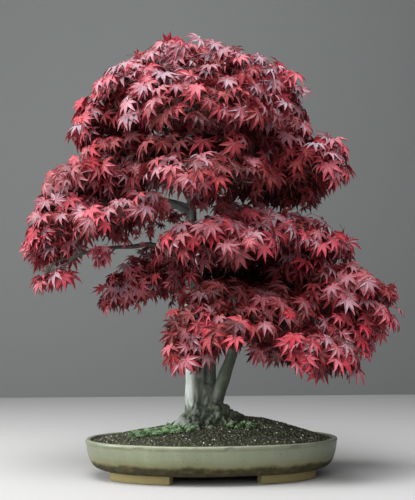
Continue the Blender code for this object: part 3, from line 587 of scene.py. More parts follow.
def leaf_material():
    """Maple leaf: wine red to rose, a pale powdery bloom with painted sky sheen where it faces the sky, duller
    underneath; vivid leaves partly a painted glow, inner leaves painted dark as shade.
    """
    material, tree, shader = new_material("maple leaf", 0.50, specular=0.30)
    tone, vivid, dust_and_sheen, rib, along, stalk = (
        attribute(tree, name) for name in ("leaf_tone", "leaf_vivid", "leaf_dust", "rib", "along", "stalk"))
    mottle = use_group(tree, MOTTLE, {"Vector": place(tree), "Broad Scale": 55.0, "Fine Scale": 420.0,
                                      "Fine Share": 0.4})
    fine = mottle.outputs["Fine"]
    # The leaf's tone carries painted shade from its place in the crown.
    tone = plus(tree, tone, remap(tree, mottle.outputs["Value"], 0.3, 0.7, -0.12, 0.12))
    red = ramp(tree, tone, ((0.00, (0.030, 0.002, 0.002)), (0.22, (0.165, 0.007, 0.008)),
                            (0.46, (0.350, 0.030, 0.038)), (0.72, (0.380, 0.056, 0.074)),
                            (0.98, (0.410, 0.110, 0.132))))
    # Vivid leaves: young red, and partly a painted glow of light through the leaf.
    hot = ramp(tree, plus(tree, times(tree, along, 0.6), times(tree, tone, 0.5)),
               ((0.1, (0.260, 0.009, 0.016)), (0.5, (0.470, 0.020, 0.042)), (0.95, (0.580, 0.046, 0.084))))
    facing = put(tree, "ShaderNodeNewGeometry")
    # Painted sheen: leaves that face up take the sky's pale mauve over their bloom.
    sky = remap(tree, along_axis(tree, facing.outputs["Normal"], "Z"), -0.20, 0.70)
    chalk_and_sheen = times(tree, times(tree, sky, dust_and_sheen), remap(tree, fine, 0.25, 0.75, 0.84, 1.15))
    red = layered(tree, red, (vivid, hot), (chalk_and_sheen, (0.276, 0.240, 0.286)),
                  (remap(tree, rib, 0.82, 1.0), (0.560, 0.180, 0.200), 0.30),
                  (facing.outputs["Backfacing"], (0.200, 0.026, 0.030), 0.6), (stalk, (0.230, 0.018, 0.022)))
    relief = plus(tree, times(tree, rib, 0.6), fine)
    wire(tree, shader, base_color=red, roughness=remap(tree, fine, 0.2, 0.8, 0.42, 0.62),
         normal=bump(tree, relief, 0.25, 0.0006))
    return material


# ================================================================ mesh helpers
def small_part_material(name, metallic, grain, stops, roughness, relief):
    """Plain plastic or metal, a little uneven: grain is the noise's scale and roughness."""
    material, tree, shader = new_material(name, roughness[0], metallic=metallic)
    uneven = cloud(tree, place(tree), grain[0], 4.0, grain[1])
    wire(tree, shader, base_color=ramp(tree, uneven, stops), roughness=remap(tree, uneven, 0.3, 0.7, *roughness),
         normal=bump(tree, uneven, *relief))
    return material


def link_object(name, mesh):
    thing = bpy.data.objects.new(name, mesh)
    bpy.context.scene.collection.objects.link(thing)
    return thing


def mesh_object(name, points, faces, material=None, smooth=True):
    mesh = bpy.data.meshes.new(name)
    mesh.from_pydata([tuple(p) for p in points], [], faces)
    mesh.update()
    if smooth:
        mesh.shade_smooth()
    if material:
        mesh.materials.append(material)
    return link_object(name, mesh)


def settle(thing):
    """Turn an object with modifiers into the plain mesh that they make."""
    bpy.context.view_layer.update()
    evaluated = thing.evaluated_get(bpy.context.evaluated_depsgraph_get())
    made = bpy.data.meshes.new_from_object(evaluated)
    thing.modifiers.clear()
    old = thing.data
    thing.data = made
    bpy.data.meshes.remove(old)


def coordinates(mesh):
    points = np.zeros(len(mesh.vertices) * 3)
    mesh.vertices.foreach_get("co", points)
    return points.reshape(-1, 3)


def set_coordinates(mesh, points):
    mesh.vertices.foreach_set("co", points.ravel())
    mesh.update()


def store(mesh, name, values):
    """Keep values on the mesh's points; their own form says what kind of attribute it is."""
    values = np.asarray(values)
    kind = "FLOAT_VECTOR" if values.ndim == 2 else "FLOAT"
    if np.issubdtype(values.dtype, np.integer):
        kind, values = "INT", values.astype(np.int32)
    layer = mesh.attributes.get(name) or mesh.attributes.new(name, kind, "POINT")
    layer.data.foreach_set("vector" if kind == "FLOAT_VECTOR" else "value", values.ravel())


def read(mesh, name):
    layer = mesh.attributes[name]
    values = np.zeros(len(mesh.vertices), np.int32 if layer.data_type == "INT" else np.float32)
    layer.data.foreach_get("value", values)
    return values


def drop(mesh, names):
    for name in names:
        if mesh.attributes.get(name):
            mesh.attributes.remove(mesh.attributes[name])


def corner_points(mesh):
    """Which point each face corner is on."""
    corner = np.zeros(len(mesh.loops), np.int32)
    mesh.loops.foreach_get("vertex_index", corner)
    return corner


def lay_in_cells(mesh, number, local):
    """Give each small repeated thing its own square of the UV map; local is each corner's place in it."""
    which = np.unique(number, return_inverse=True)[1][corner_points(mesh)]
    side = int(math.ceil(math.sqrt(which.max() + 1)))
    cell = np.stack([which % side, which // side], 1)
    spot = (cell + UV_MARGIN + np.clip(local, 0.0, 1.0) * (1.0 - 2.0 * UV_MARGIN)) / side
    layer = mesh.uv_layers.get("OFBake") or mesh.uv_layers.new(name="OFBake")
    layer.data.foreach_set("uv", spot.astype(np.float32).ravel())


def unit(vectors):
    return vectors / np.maximum(np.linalg.norm(vectors, axis=-1, keepdims=True), 1e-9)


def route_through(points, step):
    """Points along a Catmull-Rom curve, about one step apart."""
    points = np.array(points, float)
    ends = np.vstack([2 * points[0] - points[1], points, 2 * points[-1] - points[-2]])
    route = []
    for a, b, c, d in zip(ends, ends[1:], ends[2:], ends[3:]):
        count = max(2, int(np.linalg.norm(c - b) / step))
        for t in np.arange(count) / count:
            route.append(0.5 * ((2 * b) + (c - a) * t + (2 * a - 5 * b + 4 * c - d) * t ** 2
                                + (3 * b - a - 3 * c + d) * t ** 3))
    route.append(points[-1])
    return np.array(route)


def tube(route, radii, sides, shape=None):
    """A closed tube: points and faces. shape changes the radius by ring and side."""
    ahead = unit(np.gradient(route, axis=0))
    side = unit(np.cross(ahead[0], (0.0, 0.0, 1.0) if abs(ahead[0][2]) < 0.9 else (1.0, 0.0, 0.0)))
    turn = 2 * math.pi * np.arange(sides) / sides
    points = []
    for ring, (spot, forward) in enumerate(zip(route, ahead)):
        side = unit(side - forward * np.dot(side, forward))
        other = np.cross(forward, side)
        grow = radii[ring] * (np.ones(sides) if shape is None else shape[ring])
        points.append(spot + (np.cos(turn) * grow)[:, None] * side + (np.sin(turn) * grow)[:, None] * other)
    points = np.vstack(points + [route[:1], route[-1:]])
    rings = len(route)
    start, end = rings * sides, rings * sides + 1
    faces = []
    for k in range(sides):
        after = (k + 1) % sides
        faces.append((start, after, k))
        faces.append((end, (rings - 1) * sides + k, (rings - 1) * sides + after))
        for ring in range(rings - 1):
            low, high = ring * sides, (ring + 1) * sides
            faces.append((low + k, low + after, high + after, high + k))
    return points, faces


def join(parts):
    points, faces, start = [], [], 0
    for part_points, part_faces in parts:
        points.append(part_points)
        faces.extend([tuple(i + start for i in face) for face in part_faces])
        start += len(part_points)
    return np.vstack(points), faces


def run_shares(route):
    run = np.concatenate([[0.0], np.cumsum(np.linalg.norm(np.diff(route, axis=0), axis=1))])
    return run / run[-1]


# ================================================================ wood
def limb_route(points, step=0.006):
    return route_through(np.array(points, float) * MM, step)


def make_wood(material):
    """Stems, roots and branches grown together, then swollen, ridged and cleft like old bark; the clefts and the
    thinner wood under the crown are kept for painted shade.
    """
    rng = np.random.default_rng(WOOD_SEED)
    parts = []
    for _, start, end, points in STEMS + ROOTS + BRANCHES + KNOTS:
        route = limb_route(points)
        shares = run_shares(route)
        radii = (start + (end - start) * shares) * MM
        lumps = [1.0 + 0.10 * noise.noise(Vector(spot) * 28.0) for spot in route]
        sides = 20 if start > 10 else 12
        turn = 2 * math.pi * np.arange(sides) / sides
        shape = 1.0 + 0.05 * np.sin(2 * turn[None, :] + 9.0 * shares[:, None] + rng.uniform(0, 6))
        parts.append(tube(route, radii * np.array(lumps), sides, shape))
    wood = mesh_object("wood", *join(parts), material)
    remesh = wood.modifiers.new("grown_together", "REMESH")
    remesh.mode, remesh.voxel_size = "VOXEL", WOOD_VOXEL
    soften = wood.modifiers.new("softened", "SMOOTH")
    soften.factor, soften.iterations = 0.5, 4
    settle(wood)
    mesh = wood.data
    spots = coordinates(mesh)
    normals = np.zeros(len(mesh.vertices) * 3)
    mesh.vertex_normals.foreach_get("vector", normals)
    moves, hollow, crest = np.zeros((3, len(spots)))
    for i, (x, y, z) in enumerate(spots):
        foot = min(1.0, max(0.0, (GNARLED_BELOW - z) / GNARLED_FADE))
        ridge = noise.noise(Vector((x * 105.0, y * 105.0, z * 42.0)))
        crease = 1.0 - 4.0 * abs(noise.noise(Vector((x * 74.0 + 3.0, y * 74.0, z * 30.0))))
        knob = noise.noise(Vector((x * 42.0 + 7.0, y * 42.0, z * 42.0)))
        fine = noise.noise(Vector((x * 260.0, y * 260.0, z * 120.0)))
        cleft = max(0.0, crease)
        thread = noise.noise(Vector((x * 190.0, y * 190.0, z * 46.0 + 5.0)))
        moves[i] = 0.0006 * knob + 0.0003 * fine + foot * (0.0034 * ridge + 0.0012 * thread - 0.0052 * cleft)
        crest[i] = max(0.0, min(1.0, foot * (1.6 * ridge + 1.0 * thread - 0.8 * cleft)))
        hollow[i] = max(0.0, min(1.0, foot * (1.5 * cleft - 1.0 * ridge - 0.10)))
    moves = np.where(spots[:, 2] < BURIED_BELOW, np.minimum(moves, 0.0), moves)
    set_coordinates(mesh, spots + normals.reshape(-1, 3) * moves[:, None])
    # Thinner wood under the crown turns dark brown: partly its own colour, partly painted shade.
    from_axis = np.hypot(spots[:, 0] - TRUNK_X, spots[:, 1])
    thin = np.clip((from_axis - 0.025) / 0.040, 0.0, 1.0) * np.clip((spots[:, 2] - 0.27) / 0.06, 0.0, 1.0)
    # The clefts are kept for painted shade, which the bark paints nearly black.
    for name, values in (("hollow", hollow), ("crest", crest), ("thinness", thin)):
        store(mesh, name, values)
    mesh.shade_smooth()
    return wood


def pad_shape(directions, low, high):
    """Unit directions to places on a drooping dome that fills the box."""
    middle, size = (low + high) / 2.0, high - low
    outward = middle[:2] / max(np.linalg.norm(middle[:2]), 0.24)

    def sheared(unit_points):
        bent = unit_points.copy()
        bent[:, 2] = np.where(bent[:, 2] < 0.0, bent[:, 2] * PAD_UNDERSIDE, bent[:, 2])
        bent[:, 2] -= PAD_DROOP * (bent[:, :2] * size[:2]) @ outward / size[2]
        return bent

    gauge = sheared(spread_directions(900))
    least, most = gauge.min(0), gauge.max(0)
    return low + (sheared(directions) - least) / (most - least) * size


def spread_directions(count):
    i = np.arange(count) + 0.5
    polar = np.arccos(1.0 - 2.0 * i / count)
    turn = math.pi * (1.0 + math.sqrt(5.0)) * i
    return np.stack([np.cos(turn) * np.sin(polar), np.sin(turn) * np.sin(polar), np.cos(polar)], 1)


def pad_area(low, high):
    a, b, c = (high - low) / 2.0
    p = 1.6
    return 4 * math.pi * (((a * b) ** p + (a * c) ** p + (b * c) ** p) / 3.0) ** (1.0 / p)


def drawn_in(name, spot, margin):
    """A point of the pad, moved back inside the pad's slanting lines."""
    for pad, point, out in TRIMS:
        if pad == name:
            past = (spot - np.array(point) * MM) @ np.array(out) + margin
            spot = spot - max(0.0, past) * np.array(out)
    return spot


def make_twigs(material, pads):
    """Fine twigs that fan out from the branches into each pad and fork twice."""
    rng = np.random.default_rng(TWIG_SEED)
    limbs = np.vstack([limb_route(points, 0.010)[2:] for _, _, _, points in STEMS[:3] + BRANCHES])
    parts = []

    def twig(points, start, end):
        route = route_through(points, 0.014)
        parts.append(tube(route, start + (end - start) * run_shares(route), 5))
        return route

    for points in SHOWN_TWIGS:
        twig(np.array(points, float) * MM, 0.0016, 0.0008)
    for name, (low, high) in pads.items():
        middle = (low + high) / 2.0
        count = int(10 + TWIGS_PER_AREA * pad_area(low, high))
        ends = unit(spread_directions(count) + rng.normal(0, 0.18, (count, 3)))
        ends[:, 2] = np.abs(ends[:, 2]) * 0.8 - 0.15
        tips = pad_shape(unit(ends), low, high)
        tips = middle + (tips - middle) * rng.uniform(0.50, 0.70, (count, 1))
        for tip in tips:
            tip = drawn_in(name, tip, 0.014)
            gaps = np.linalg.norm(limbs - tip, axis=1) + 0.5 * np.maximum(0.0, limbs[:, 2] - tip[2])
            root = limbs[np.argsort(gaps)[rng.integers(0, 3)]]
            span = np.linalg.norm(tip - root)
            bend = (root + tip) / 2.0 + rng.normal(0, 0.10, 3) * span + np.array([0, 0, 0.10 * span])
            route = twig([root, bend, tip], 0.0015, 0.0007)
            for fork in range(2):
                start = route[len(route) // 3 + fork * len(route) // 3]
                aim = tip + rng.normal(0, 0.015, 3)
                aim = drawn_in(name, np.clip(aim, low + 0.024, high - 0.018), 0.012)
                twig([start, (start + aim) / 2 + rng.normal(0, 0.004, 3), aim], 0.0009, 0.0006)
    twigs = mesh_object("twigs", *join(parts), material)
    # Twigs take the full dark of thinner wood under the crown, partly painted shade.
    for name, value in (("thinness", 1.0), ("hollow", 0.0), ("crest", 0.0)):
        store(twigs.data, name, np.full(len(twigs.data.vertices), value))
    return twigs


# ================================================================ leaves
def make_leaf_kind(number):
    """One maple leaf with its stalk, base at the origin, middle lobe along +Y, upper face +Z."""
    rng = np.random.default_rng(LEAF_KIND_SEED + number)
    droop = rng.uniform(0.12, 0.36)
    fold = rng.uniform(0.035, 0.085)
    points, rib, along = [(0.0, 0.0, 0.0)], [1.0], [0.0]

    def add(angle, reach, aside, lift, on_rib):
        bend = math.radians(angle)
        x = math.sin(bend) * reach + math.cos(bend) * aside
        y = math.cos(bend) * reach - math.sin(bend) * aside
        points.append((x, y, lift - droop * reach * reach))
        rib.append(on_rib)
        along.append(reach)
        return len(points) - 1

    lobes = [(angle + rng.uniform(-4, 4), length * rng.uniform(0.93, 1.05)) for angle, length in LEAF_LOBES]
    cuts = [add(lobes[0][0] - 26, 0.10, 0.0, 0.02, 0.3)]
    for (a, length_a), (b, length_b) in zip(lobes, lobes[1:]):
        cuts.append(add((a + b) / 2, LEAF_SINUS * min(1.0, 0.35 + 0.75 * min(length_a, length_b)), 0.0, 0.03, 0.3))
    cuts.append(add(lobes[-1][0] + 26, 0.10, 0.0, 0.02, 0.3))
    faces = []
    for i, (angle, length) in enumerate(lobes):
        wide = LOBE_WIDTH * length ** 0.6
        sag = rng.uniform(-0.05, 0.03)
        left, right = cuts[i], cuts[i + 1]
        middle = add(angle, 0.50 * length, 0.0, -0.01 + 0.3 * sag, 1.0)
        wide_left = add(angle, 0.46 * length, -wide, fold, 0.0)
        wide_right = add(angle, 0.46 * length, wide, fold, 0.0)
        thin_left = add(angle, 0.74 * length, -0.52 * wide, 0.6 * fold + 0.6 * sag, 0.0)
        thin_right = add(angle, 0.74 * length, 0.52 * wide, 0.6 * fold + 0.6 * sag, 0.0)
        tip = add(angle + rng.uniform(-2.5, 2.5), length, 0.0, sag - 0.03, 0.6)
        faces += [(0, middle, wide_left, left), (middle, tip, thin_left, wide_left),
                  (0, right, wide_right, middle), (middle, wide_right, thin_right, tip)]
    blade = len(points)
    spine = ((0.0, 0.02, 0.0), (0.0, -0.45 * STALK_REACH, -0.10), (0.0, -STALK_REACH, -0.34))
    for x, y, z in spine:
        for corner in range(3):
            turn = 2 * math.pi * corner / 3
            points.append((x + STALK_RADIUS * math.cos(turn), y, z + STALK_RADIUS * math.sin(turn)))
    for ring in range(2):
        for corner in range(3):
            low, after = blade + ring * 3, (corner + 1) % 3
            faces.append((low + corner, low + after, low + 3 + after, low + 3 + corner))
    faces.append((blade + 6, blade + 7, blade + 8))
    points = np.array(points) * LEAF_REACH
    leaf = mesh_object("leaf_kind_%d" % number, points, faces, smooth=False)
    is_stalk = np.concatenate([np.zeros(blade), np.ones(9)])
    store(leaf.data, "rib", rib + [0.0] * 9)
    store(leaf.data, "along", along + [0.0] * 9)
    store(leaf.data, "stalk", is_stalk)
    flat = points[:, :2] / LEAF_REACH
    store(leaf.data, "local_u", (flat[:, 0] + 1.05) / 2.1)
    store(leaf.data, "local_v", (flat[:, 1] + 1.0) / 2.1)
    return leaf


def geometry_tree(name, sockets):
    tree = bpy.data.node_groups.new(name, "GeometryNodeTree")
    tree.interface.new_socket("Geometry", in_out="INPUT", socket_type="NodeSocketGeometry")
    for label, kind, value in sockets:
        socket = tree.interface.new_socket(label, in_out="INPUT", socket_type=kind)
        if value is not None:
            socket.default_value = value
    tree.interface.new_socket("Geometry", in_out="OUTPUT", socket_type="NodeSocketGeometry")
    return tree, tree.nodes.new("NodeGroupInput"), tree.nodes.new("NodeGroupOutput")


def close_tree(tree, geometry, material, end):
    done = put(tree, "GeometryNodeSetMaterial", {"Geometry": geometry, "Material": material})
    tree.links.new(done.outputs["Geometry"], end.inputs["Geometry"])
    return tree


def run_tree(thing, tree, values):
    """Put the tree on the object, set its inputs, and keep the plain mesh that comes out."""
    step = thing.modifiers.new(tree.name, "NODES")
    step.node_group = tree
    for item in tree.interface.items_tree:
        if item.item_type == "SOCKET" and item.in_out == "INPUT" and item.name in values:
            step[item.identifier] = values[item.name]
    settle(thing)


def named(tree, name, kind):
    return put(tree, "GeometryNodeInputNamedAttribute", {"Name": name}, data_type=kind).outputs["Attribute"]


def scatter_tree(name, thing, picked=False):
    """Sets a small thing on every point, turned by the point's own two axes and sized by its own size.

    A picked thing comes from a collection, by the point's own number for its kind.
    """
    kind = "Collection" if picked else "Object"
    tree, start, end = geometry_tree(name, [(thing, "NodeSocket" + kind, None),
                                            (thing + " Scale", "NodeSocketFloat", 1.0),
                                            (thing + " Material", "NodeSocketMaterial", None)])
    source = {kind: start.outputs[thing]}
    choice = {}
    if picked:
        source.update({"Separate Children": True, "Reset Children": True})
        choice = {"Pick Instance": True, "Instance Index": named(tree, "kind", "INT")}
    info = put(tree, "GeometryNode%sInfo" % kind, source)
    turn = put(tree, "FunctionNodeAxesToRotation",
               {"Primary Axis": named(tree, "up", "FLOAT_VECTOR"),
                "Secondary Axis": named(tree, "forward", "FLOAT_VECTOR")},
               primary_axis="Z", secondary_axis="Y")
    things = put(tree, "GeometryNodeInstanceOnPoints",
                 {"Points": start.outputs["Geometry"],
                  "Instance": info.outputs["Instances" if picked else "Geometry"],
                  "Rotation": turn.outputs["Rotation"],
                  "Scale": times(tree, named(tree, "size", "FLOAT"), start.outputs[thing + " Scale"]), **choice})
    real = put(tree, "GeometryNodeRealizeInstances", {"Geometry": things.outputs["Instances"]})
    return close_tree(tree, real.outputs["Geometry"], start.outputs[thing + " Material"], end)


def scattered(mesh_name, name, spots, fields, tree, values, place_in_cell):
    """An object made of the tree's small things on the spots, with a UV square for each thing.

    fields are what the points carry; those the tree uses up are dropped again.
    """
    points = bpy.data.meshes.new(mesh_name)
    points.from_pydata([tuple(spot) for spot in spots], [], [])
    thing = link_object(name, points)
    for key, field in fields.items():
        store(points, key, field)
    store(points, "number", np.arange(len(spots)))
    run_tree(thing, tree, values)
    mesh = thing.data
    number = read(mesh, "number")
    lay_in_cells(mesh, number, place_in_cell(mesh, number))
    drop(mesh, ("up", "forward", "size", "kind", "number", "local_u", "local_v"))
    return thing


def leaf_room(low, high, scale):
    """The box for the leaf bases: drawn in on the crown's outside, let out towards the other pads."""
    low, high = low.copy(), high.copy()
    middle = (low + high) / 2.0
    for k, core in ((0, -0.030), (1, 0.0)):
        low[k] += PAD_INSET[k] if middle[k] < core - 0.02 else -PAD_REACH
        high[k] -= PAD_INSET[k] if middle[k] > core + 0.04 else -PAD_REACH
    low[2] += PAD_FOOT * scale
    high[2] -= PAD_INSET[2]
    return low, high


def noise_at(spots, scale, shift=0.0):
    return np.array([noise.noise(Vector(spot) * scale + Vector((shift, 2.0 * shift, 3.0 * shift)))
                     for spot in spots])


def grow_pad(low, high, looks, density, seed):
    """Where the leaves of one pad stand, which way they face and how they are coloured."""
    rng = np.random.default_rng(seed)
    scale, tone, vivid, dust_and_sheen = looks
    inner_low, inner_high = leaf_room(low, high, scale)
    middle = (inner_low + inner_high) / 2.0
    area = pad_area(low, high) * density
    spots, ways, depth, back = [], [], [], []
    for share, per_area in PAD_SHELLS:
        count = int(area * per_area / scale ** 2)
        aims = unit(spread_directions(count) + rng.normal(0, 0.10, (count, 3)))
        keep = rng.uniform(size=count) < np.interp(aims[:, 2], (-1.0, -0.6, -0.1), (0.35, 0.55, 1.0))
        aims = aims[keep]
        places = pad_shape(aims, inner_low, inner_high)
        shelf = noise_at(places * SHELF_SCALE, 1.0, 4.0)
        if share > 0.9:
            keep = shelf + rng.normal(0, 0.07, len(shelf)) > SHELF_OPEN
            aims, places, shelf = aims[keep], places[keep], shelf[keep]
        jitter = rng.uniform(-0.05, 0.03, len(aims))
        proud = aims * (SHELF_PROUD * shelf * (share > 0.9))[:, None]
        spots.append(middle + (places - middle) * (share + jitter)[:, None] + proud)
        ways.append(aims)
        depth.append(np.full(len(aims), share))
        back.append(np.clip(-shelf - 0.02, 0.0, 0.5))
    spots, ways = np.vstack(spots), np.vstack(ways)
    depth, back = np.concatenate(depth), np.concatenate(back)
    count = len(spots)
    outer = depth > 0.9
    across = np.array([1.0, 1.0, 0.0])
    from_tree = unit((spots - np.array([-0.03, 0.0, 0.0])) * across)
    level = unit(ways * across + 0.45 * from_tree + rng.normal(0, 0.48, (count, 3)) * across)
    lean = 0.55 + 0.70 * np.clip(ways[:, 2], 0.0, 1.0)
    normal = unit(level + lean[:, None] * np.array([0.0, 0.0, 1.0]) + rng.normal(0, 0.28, (count, 3)))
    reach_out = rng.uniform(0.5, 1.3, (count, 1))
    axis = unit(reach_out * level + np.array([0.0, 0.0, -0.60]) + rng.normal(0, 0.45, (count, 3)))
    # Painted shade: leaves of the inner shells and of shelves set back are darker, leaves facing up a little lighter.
    shade = tone + 0.34 * noise_at(spots, 17.0) + rng.normal(0, 0.15, count) - 1.3 * (1.0 - depth) - 0.8 * back
    shade += 0.10 * np.clip(ways[:, 2], -1.0, 0.6)
    # Vivid leaves, most on the pads' outer rims: young leaves, and partly a painted glow of light through them.
    hot_field = noise_at(spots, 13.0, 5.0)
    rim = np.clip(np.linalg.norm(ways[:, :2], axis=1), 0.0, 1.0) * outer
    chance = vivid * (0.25 + 0.9 * rim + 1.8 * np.clip(hot_field, -0.5, 0.5)) * np.where(outer, 1.0, 0.4)
    hot = (rng.uniform(size=count) < chance) * rng.uniform(0.5, 1.0, count)
    # Bloom with painted sky sheen: less on vivid, inner, recessed and dark leaves.
    chalk_and_sheen = np.clip(dust_and_sheen + 0.5 * noise_at(spots, 19.0, 8.0) + rng.normal(0, 0.27, count), 0.0, 1.0)
    chalk_and_sheen *= (1.0 - 0.75 * hot) * np.where(outer, 1.0, 0.12) * (1.0 - 1.4 * back) * np.clip(2.4 * shade, 0.05, 1.0)
    size = scale * rng.uniform(0.74, 1.18, count) * np.where(outer, 1.0, 0.9)
    return {"spots": spots, "up": normal, "forward": axis, "size": size,
            "kind": rng.integers(0, LEAF_KINDS, count), "leaf_tone": np.clip(shade, 0.0, 0.98),
            "leaf_vivid": hot, "leaf_dust": chalk_and_sheen}


def trimmed(bunch, name):
    """Leaves past the pad's slanting lines are dropped, or pressed back to the line on the crown's top."""
    rng = np.random.default_rng(PRESS_SEED)
    keep = np.ones(len(bunch["spots"]), bool)
    for pad, point, out in TRIMS:
        if pad == name:
            past = (bunch["spots"] - np.array(point) * MM) @ np.array(out)
            if name in PRESSED:
                depth = rng.uniform(0.0, PRESS_DEPTH, len(past))
                bunch["spots"] = bunch["spots"] - np.where(past > 0, past + depth, 0.0)[:, None] * np.array(out)
            else:
                keep &= past < 0.0
    return {key: values[keep] for key, values in bunch.items()}


def shaded(bunch):
    """Painted shade: leaves in the unlit places turn dark and lose their bloom, sheen and glow."""
    x, z = bunch["spots"][:, 0], bunch["spots"][:, 2]
    for (left, right), (low, high) in SHADED:
        dark = (x > left * MM) & (x < right * MM) & (z > low * MM) & (z < high * MM)
        for key, part_left in (("leaf_tone", 0.25), ("leaf_dust", 0.15), ("leaf_vivid", 0.2)):
            bunch[key] = np.where(dark, part_left * bunch[key], bunch[key])
    return bunch


def together(bunch, more):
    return {key: np.concatenate([bunch[key], more[key]]) for key in bunch}


def grow_tuft(middle, count, spread, scale, upright, vivid, dust_and_sheen, tone, seed):
    """Leaves around one shoot's end."""
    rng = np.random.default_rng(seed)
    spots = np.array(middle) * MM + rng.normal(0, 1.0, (count, 3)) * np.array(spread) * MM
    out = unit(rng.normal(0, 1.0, (count, 3)) * np.array([1.0, 1.0, 0.25]))
    normal = unit(out + np.array([0.0, -0.35, 0.6]) + rng.normal(0, 0.2, (count, 3)))
    axis = unit(0.5 * out + np.array([0.0, 0.0, upright]) + rng.normal(0, 0.3, (count, 3)))
    return {"spots": spots, "up": normal, "forward": axis,
            "size": scale * rng.uniform(0.7, 1.1, count), "kind": rng.integers(0, LEAF_KINDS, count),
            "leaf_tone": np.clip(tone + rng.normal(0, 0.12, count), 0.02, 0.98),
            "leaf_vivid": np.clip(vivid * rng.uniform(0.3, 1.3, count), 0.0, 1.0),
            "leaf_dust": np.clip(dust_and_sheen + rng.normal(0, 0.12, count), 0.0, 1.0)}


# Tufts that stand out from the pads: pad, middle in millimetres, count, spread, size, upright, vivid (partly painted
# glow), dust with painted sky sheen, tone (partly painted shade).
TUFTS = (
    ("apex", (-77, -18, 770), 16, (8, 9, 6), 0.90, 0.95, 0.95, 0.15, 0.7),
    ("apex", (-62, 0, 772), 8, (8, 8, 4), 0.8, 0.6, 0.7, 0.3, 0.7),
    ("left_front", (-150, -60, 420), 16, (18, 10, 8), 0.50, -0.6, 0.1, 0.4, 0.35),
    ("apex", (-122, -20, 733), 24, (15, 16, 5), 0.90, 0.1, 0.1, 0.9, 0.7),
    ("skirt_left", (-225, -20, 598), 16, (8, 16, 10), 0.85, -0.6, 0.4, 0.5, 0.6),
    ("left_front", (-108, -34, 432), 9, (11, 8, 6), 0.55, -0.6, 0.0, 0.3, 0.25),
    ("low_right", (320, -10, 318), 16, (7, 16, 7), 0.85, -0.6, 0.5, 0.5, 0.6),
    ("left_outer", (-318, -20, 394), 12, (8, 12, 6), 0.90, -0.6, 0.4, 0.7, 0.7),
    ("mid_right", (238, -20, 412), 16, (8, 16, 10), 0.95, -0.6, 0.2, 0.8, 0.6),
    ("low_right", (284, -20, 250), 18, (9, 16, 9), 0.90, -0.7, 0.5, 0.5, 0.6),
    ("low_right", (276, -10, 226), 14, (8, 14, 7), 0.85, -0.7, 0.5, 0.5, 0.6),
    ("crown_right", (152, -20, 640), 18, (6, 18, 12), 1.00, -0.6, 0.1, 0.85, 0.6),
    ("skirt_front", (10, -70, 476), 30, (24, 16, 7), 0.80, -0.6, 0.05, 0.5, 0.40),
    ("shoulder_right", (156, -20, 489), 26, (22, 14, 6), 0.80, -0.7, 0.0, 0.05, 0.06),
    ("left_front", (-190, -96, 380), 16, (10, 8, 6), 0.80, -0.9, 0.6, 0.6, 0.7),
    ("skirt_front", (-68, -60, 452), 12, (14, 14, 7), 0.45, -0.5, 0.0, 0.2, 0.2),
    ("left_upper", (-72, -30, 456), 14, (10, 10, 6), 0.45, -0.5, 0.0, 0.2, 0.15),
    ("low_left_front", (-70, -100, 225), 14, (6, 14, 12), 0.8, -1.0, 0.5, 0.5, 0.5),
)


def make_leaves(name, bunch, kinds, tree, material):
    def place_in_cell(mesh, number):
        corner = corner_points(mesh)
        return np.stack([read(mesh, "local_u")[corner], read(mesh, "local_v")[corner]], 1)

    fields = {key: values for key, values in bunch.items() if key != "spots"}
    return scattered("leaves_" + name, "foliage_" + name, bunch["spots"], fields, tree,
                     {"Leaf": kinds, "Leaf Scale": 1.0, "Leaf Material": material}, place_in_cell)


# ================================================================ pot
def oval(angle, length, width):
    power = 2.0 / OVAL_POWER
    c, s = np.cos(angle), np.sin(angle)
    return (0.5 * length * np.sign(c) * np.abs(c) ** power, 0.5 * width * np.sign(s) * np.abs(s) ** power)


def rings_mesh(rings, sides, wobble=0.0):
    """Skin ovals (length, width, height, shift x, shift y) and cap the first and the last."""
    turn = 2 * math.pi * (np.arange(sides) + 0.5) / sides
    points = []
    for length, width, height, shift_x, shift_y in rings:
        x, y = oval(turn, length, width)
        points.append(np.stack([x + shift_x, y + shift_y, np.full(sides, height)], 1))
    points = np.vstack(points)
    if wobble:
        points += wobble * np.array([noise.noise_vector(Vector(p) * 11.0) for p in points])
    faces = [tuple(reversed(range(sides))), tuple(range((len(rings) - 1) * sides, len(rings) * sides))]
    for ring in range(len(rings) - 1):
        for k in range(sides):
            after = (k + 1) % sides
            faces.append((ring * sides + k, ring * sides + after, (ring + 1) * sides + after, (ring + 1) * sides + k))
    return points, faces


def pot_profile():
    """Outside from the foot to the lip, then down inside to the floor: (inset, height)."""
    lip, floor = POT_HEIGHT - LIP_HEIGHT, FOOT_HEIGHT + POT_FLOOR
    outside = [(POT_TAPER + 0.0015, FOOT_HEIGHT), (POT_TAPER, FOOT_HEIGHT + 0.0006)]
    outside += [(inset * POT_TAPER, FOOT_HEIGHT + rise * (lip - FOOT_HEIGHT)) for inset, rise in BOWL_CURVE]
    outside += [(0.45 * LIP_PROUD, lip), (0.2 * LIP_PROUD, lip + 0.12 * LIP_HEIGHT), (0.0, lip + 0.32 * LIP_HEIGHT),
                (0.0, lip + 0.62 * LIP_HEIGHT), (0.05 * POT_WALL, lip + 0.80 * LIP_HEIGHT),
                (0.14 * POT_WALL, lip + 0.93 * LIP_HEIGHT), (0.30 * POT_WALL, POT_HEIGHT)]
    inside = [(0.70 * POT_WALL, POT_HEIGHT), (0.88 * POT_WALL, POT_HEIGHT - 0.06 * LIP_HEIGHT),
              (POT_WALL, POT_HEIGHT - 0.2 * LIP_HEIGHT)]
    inside += [(POT_WALL + inset * POT_TAPER, floor + rise * (POT_HEIGHT - floor)) for inset, rise in INNER_CURVE]
    return outside + inside


def pot_ring(inset, height):
    return (POT_LENGTH - 2.0 * inset, POT_WIDTH - 2.0 * inset, height, 0.0, 0.0)


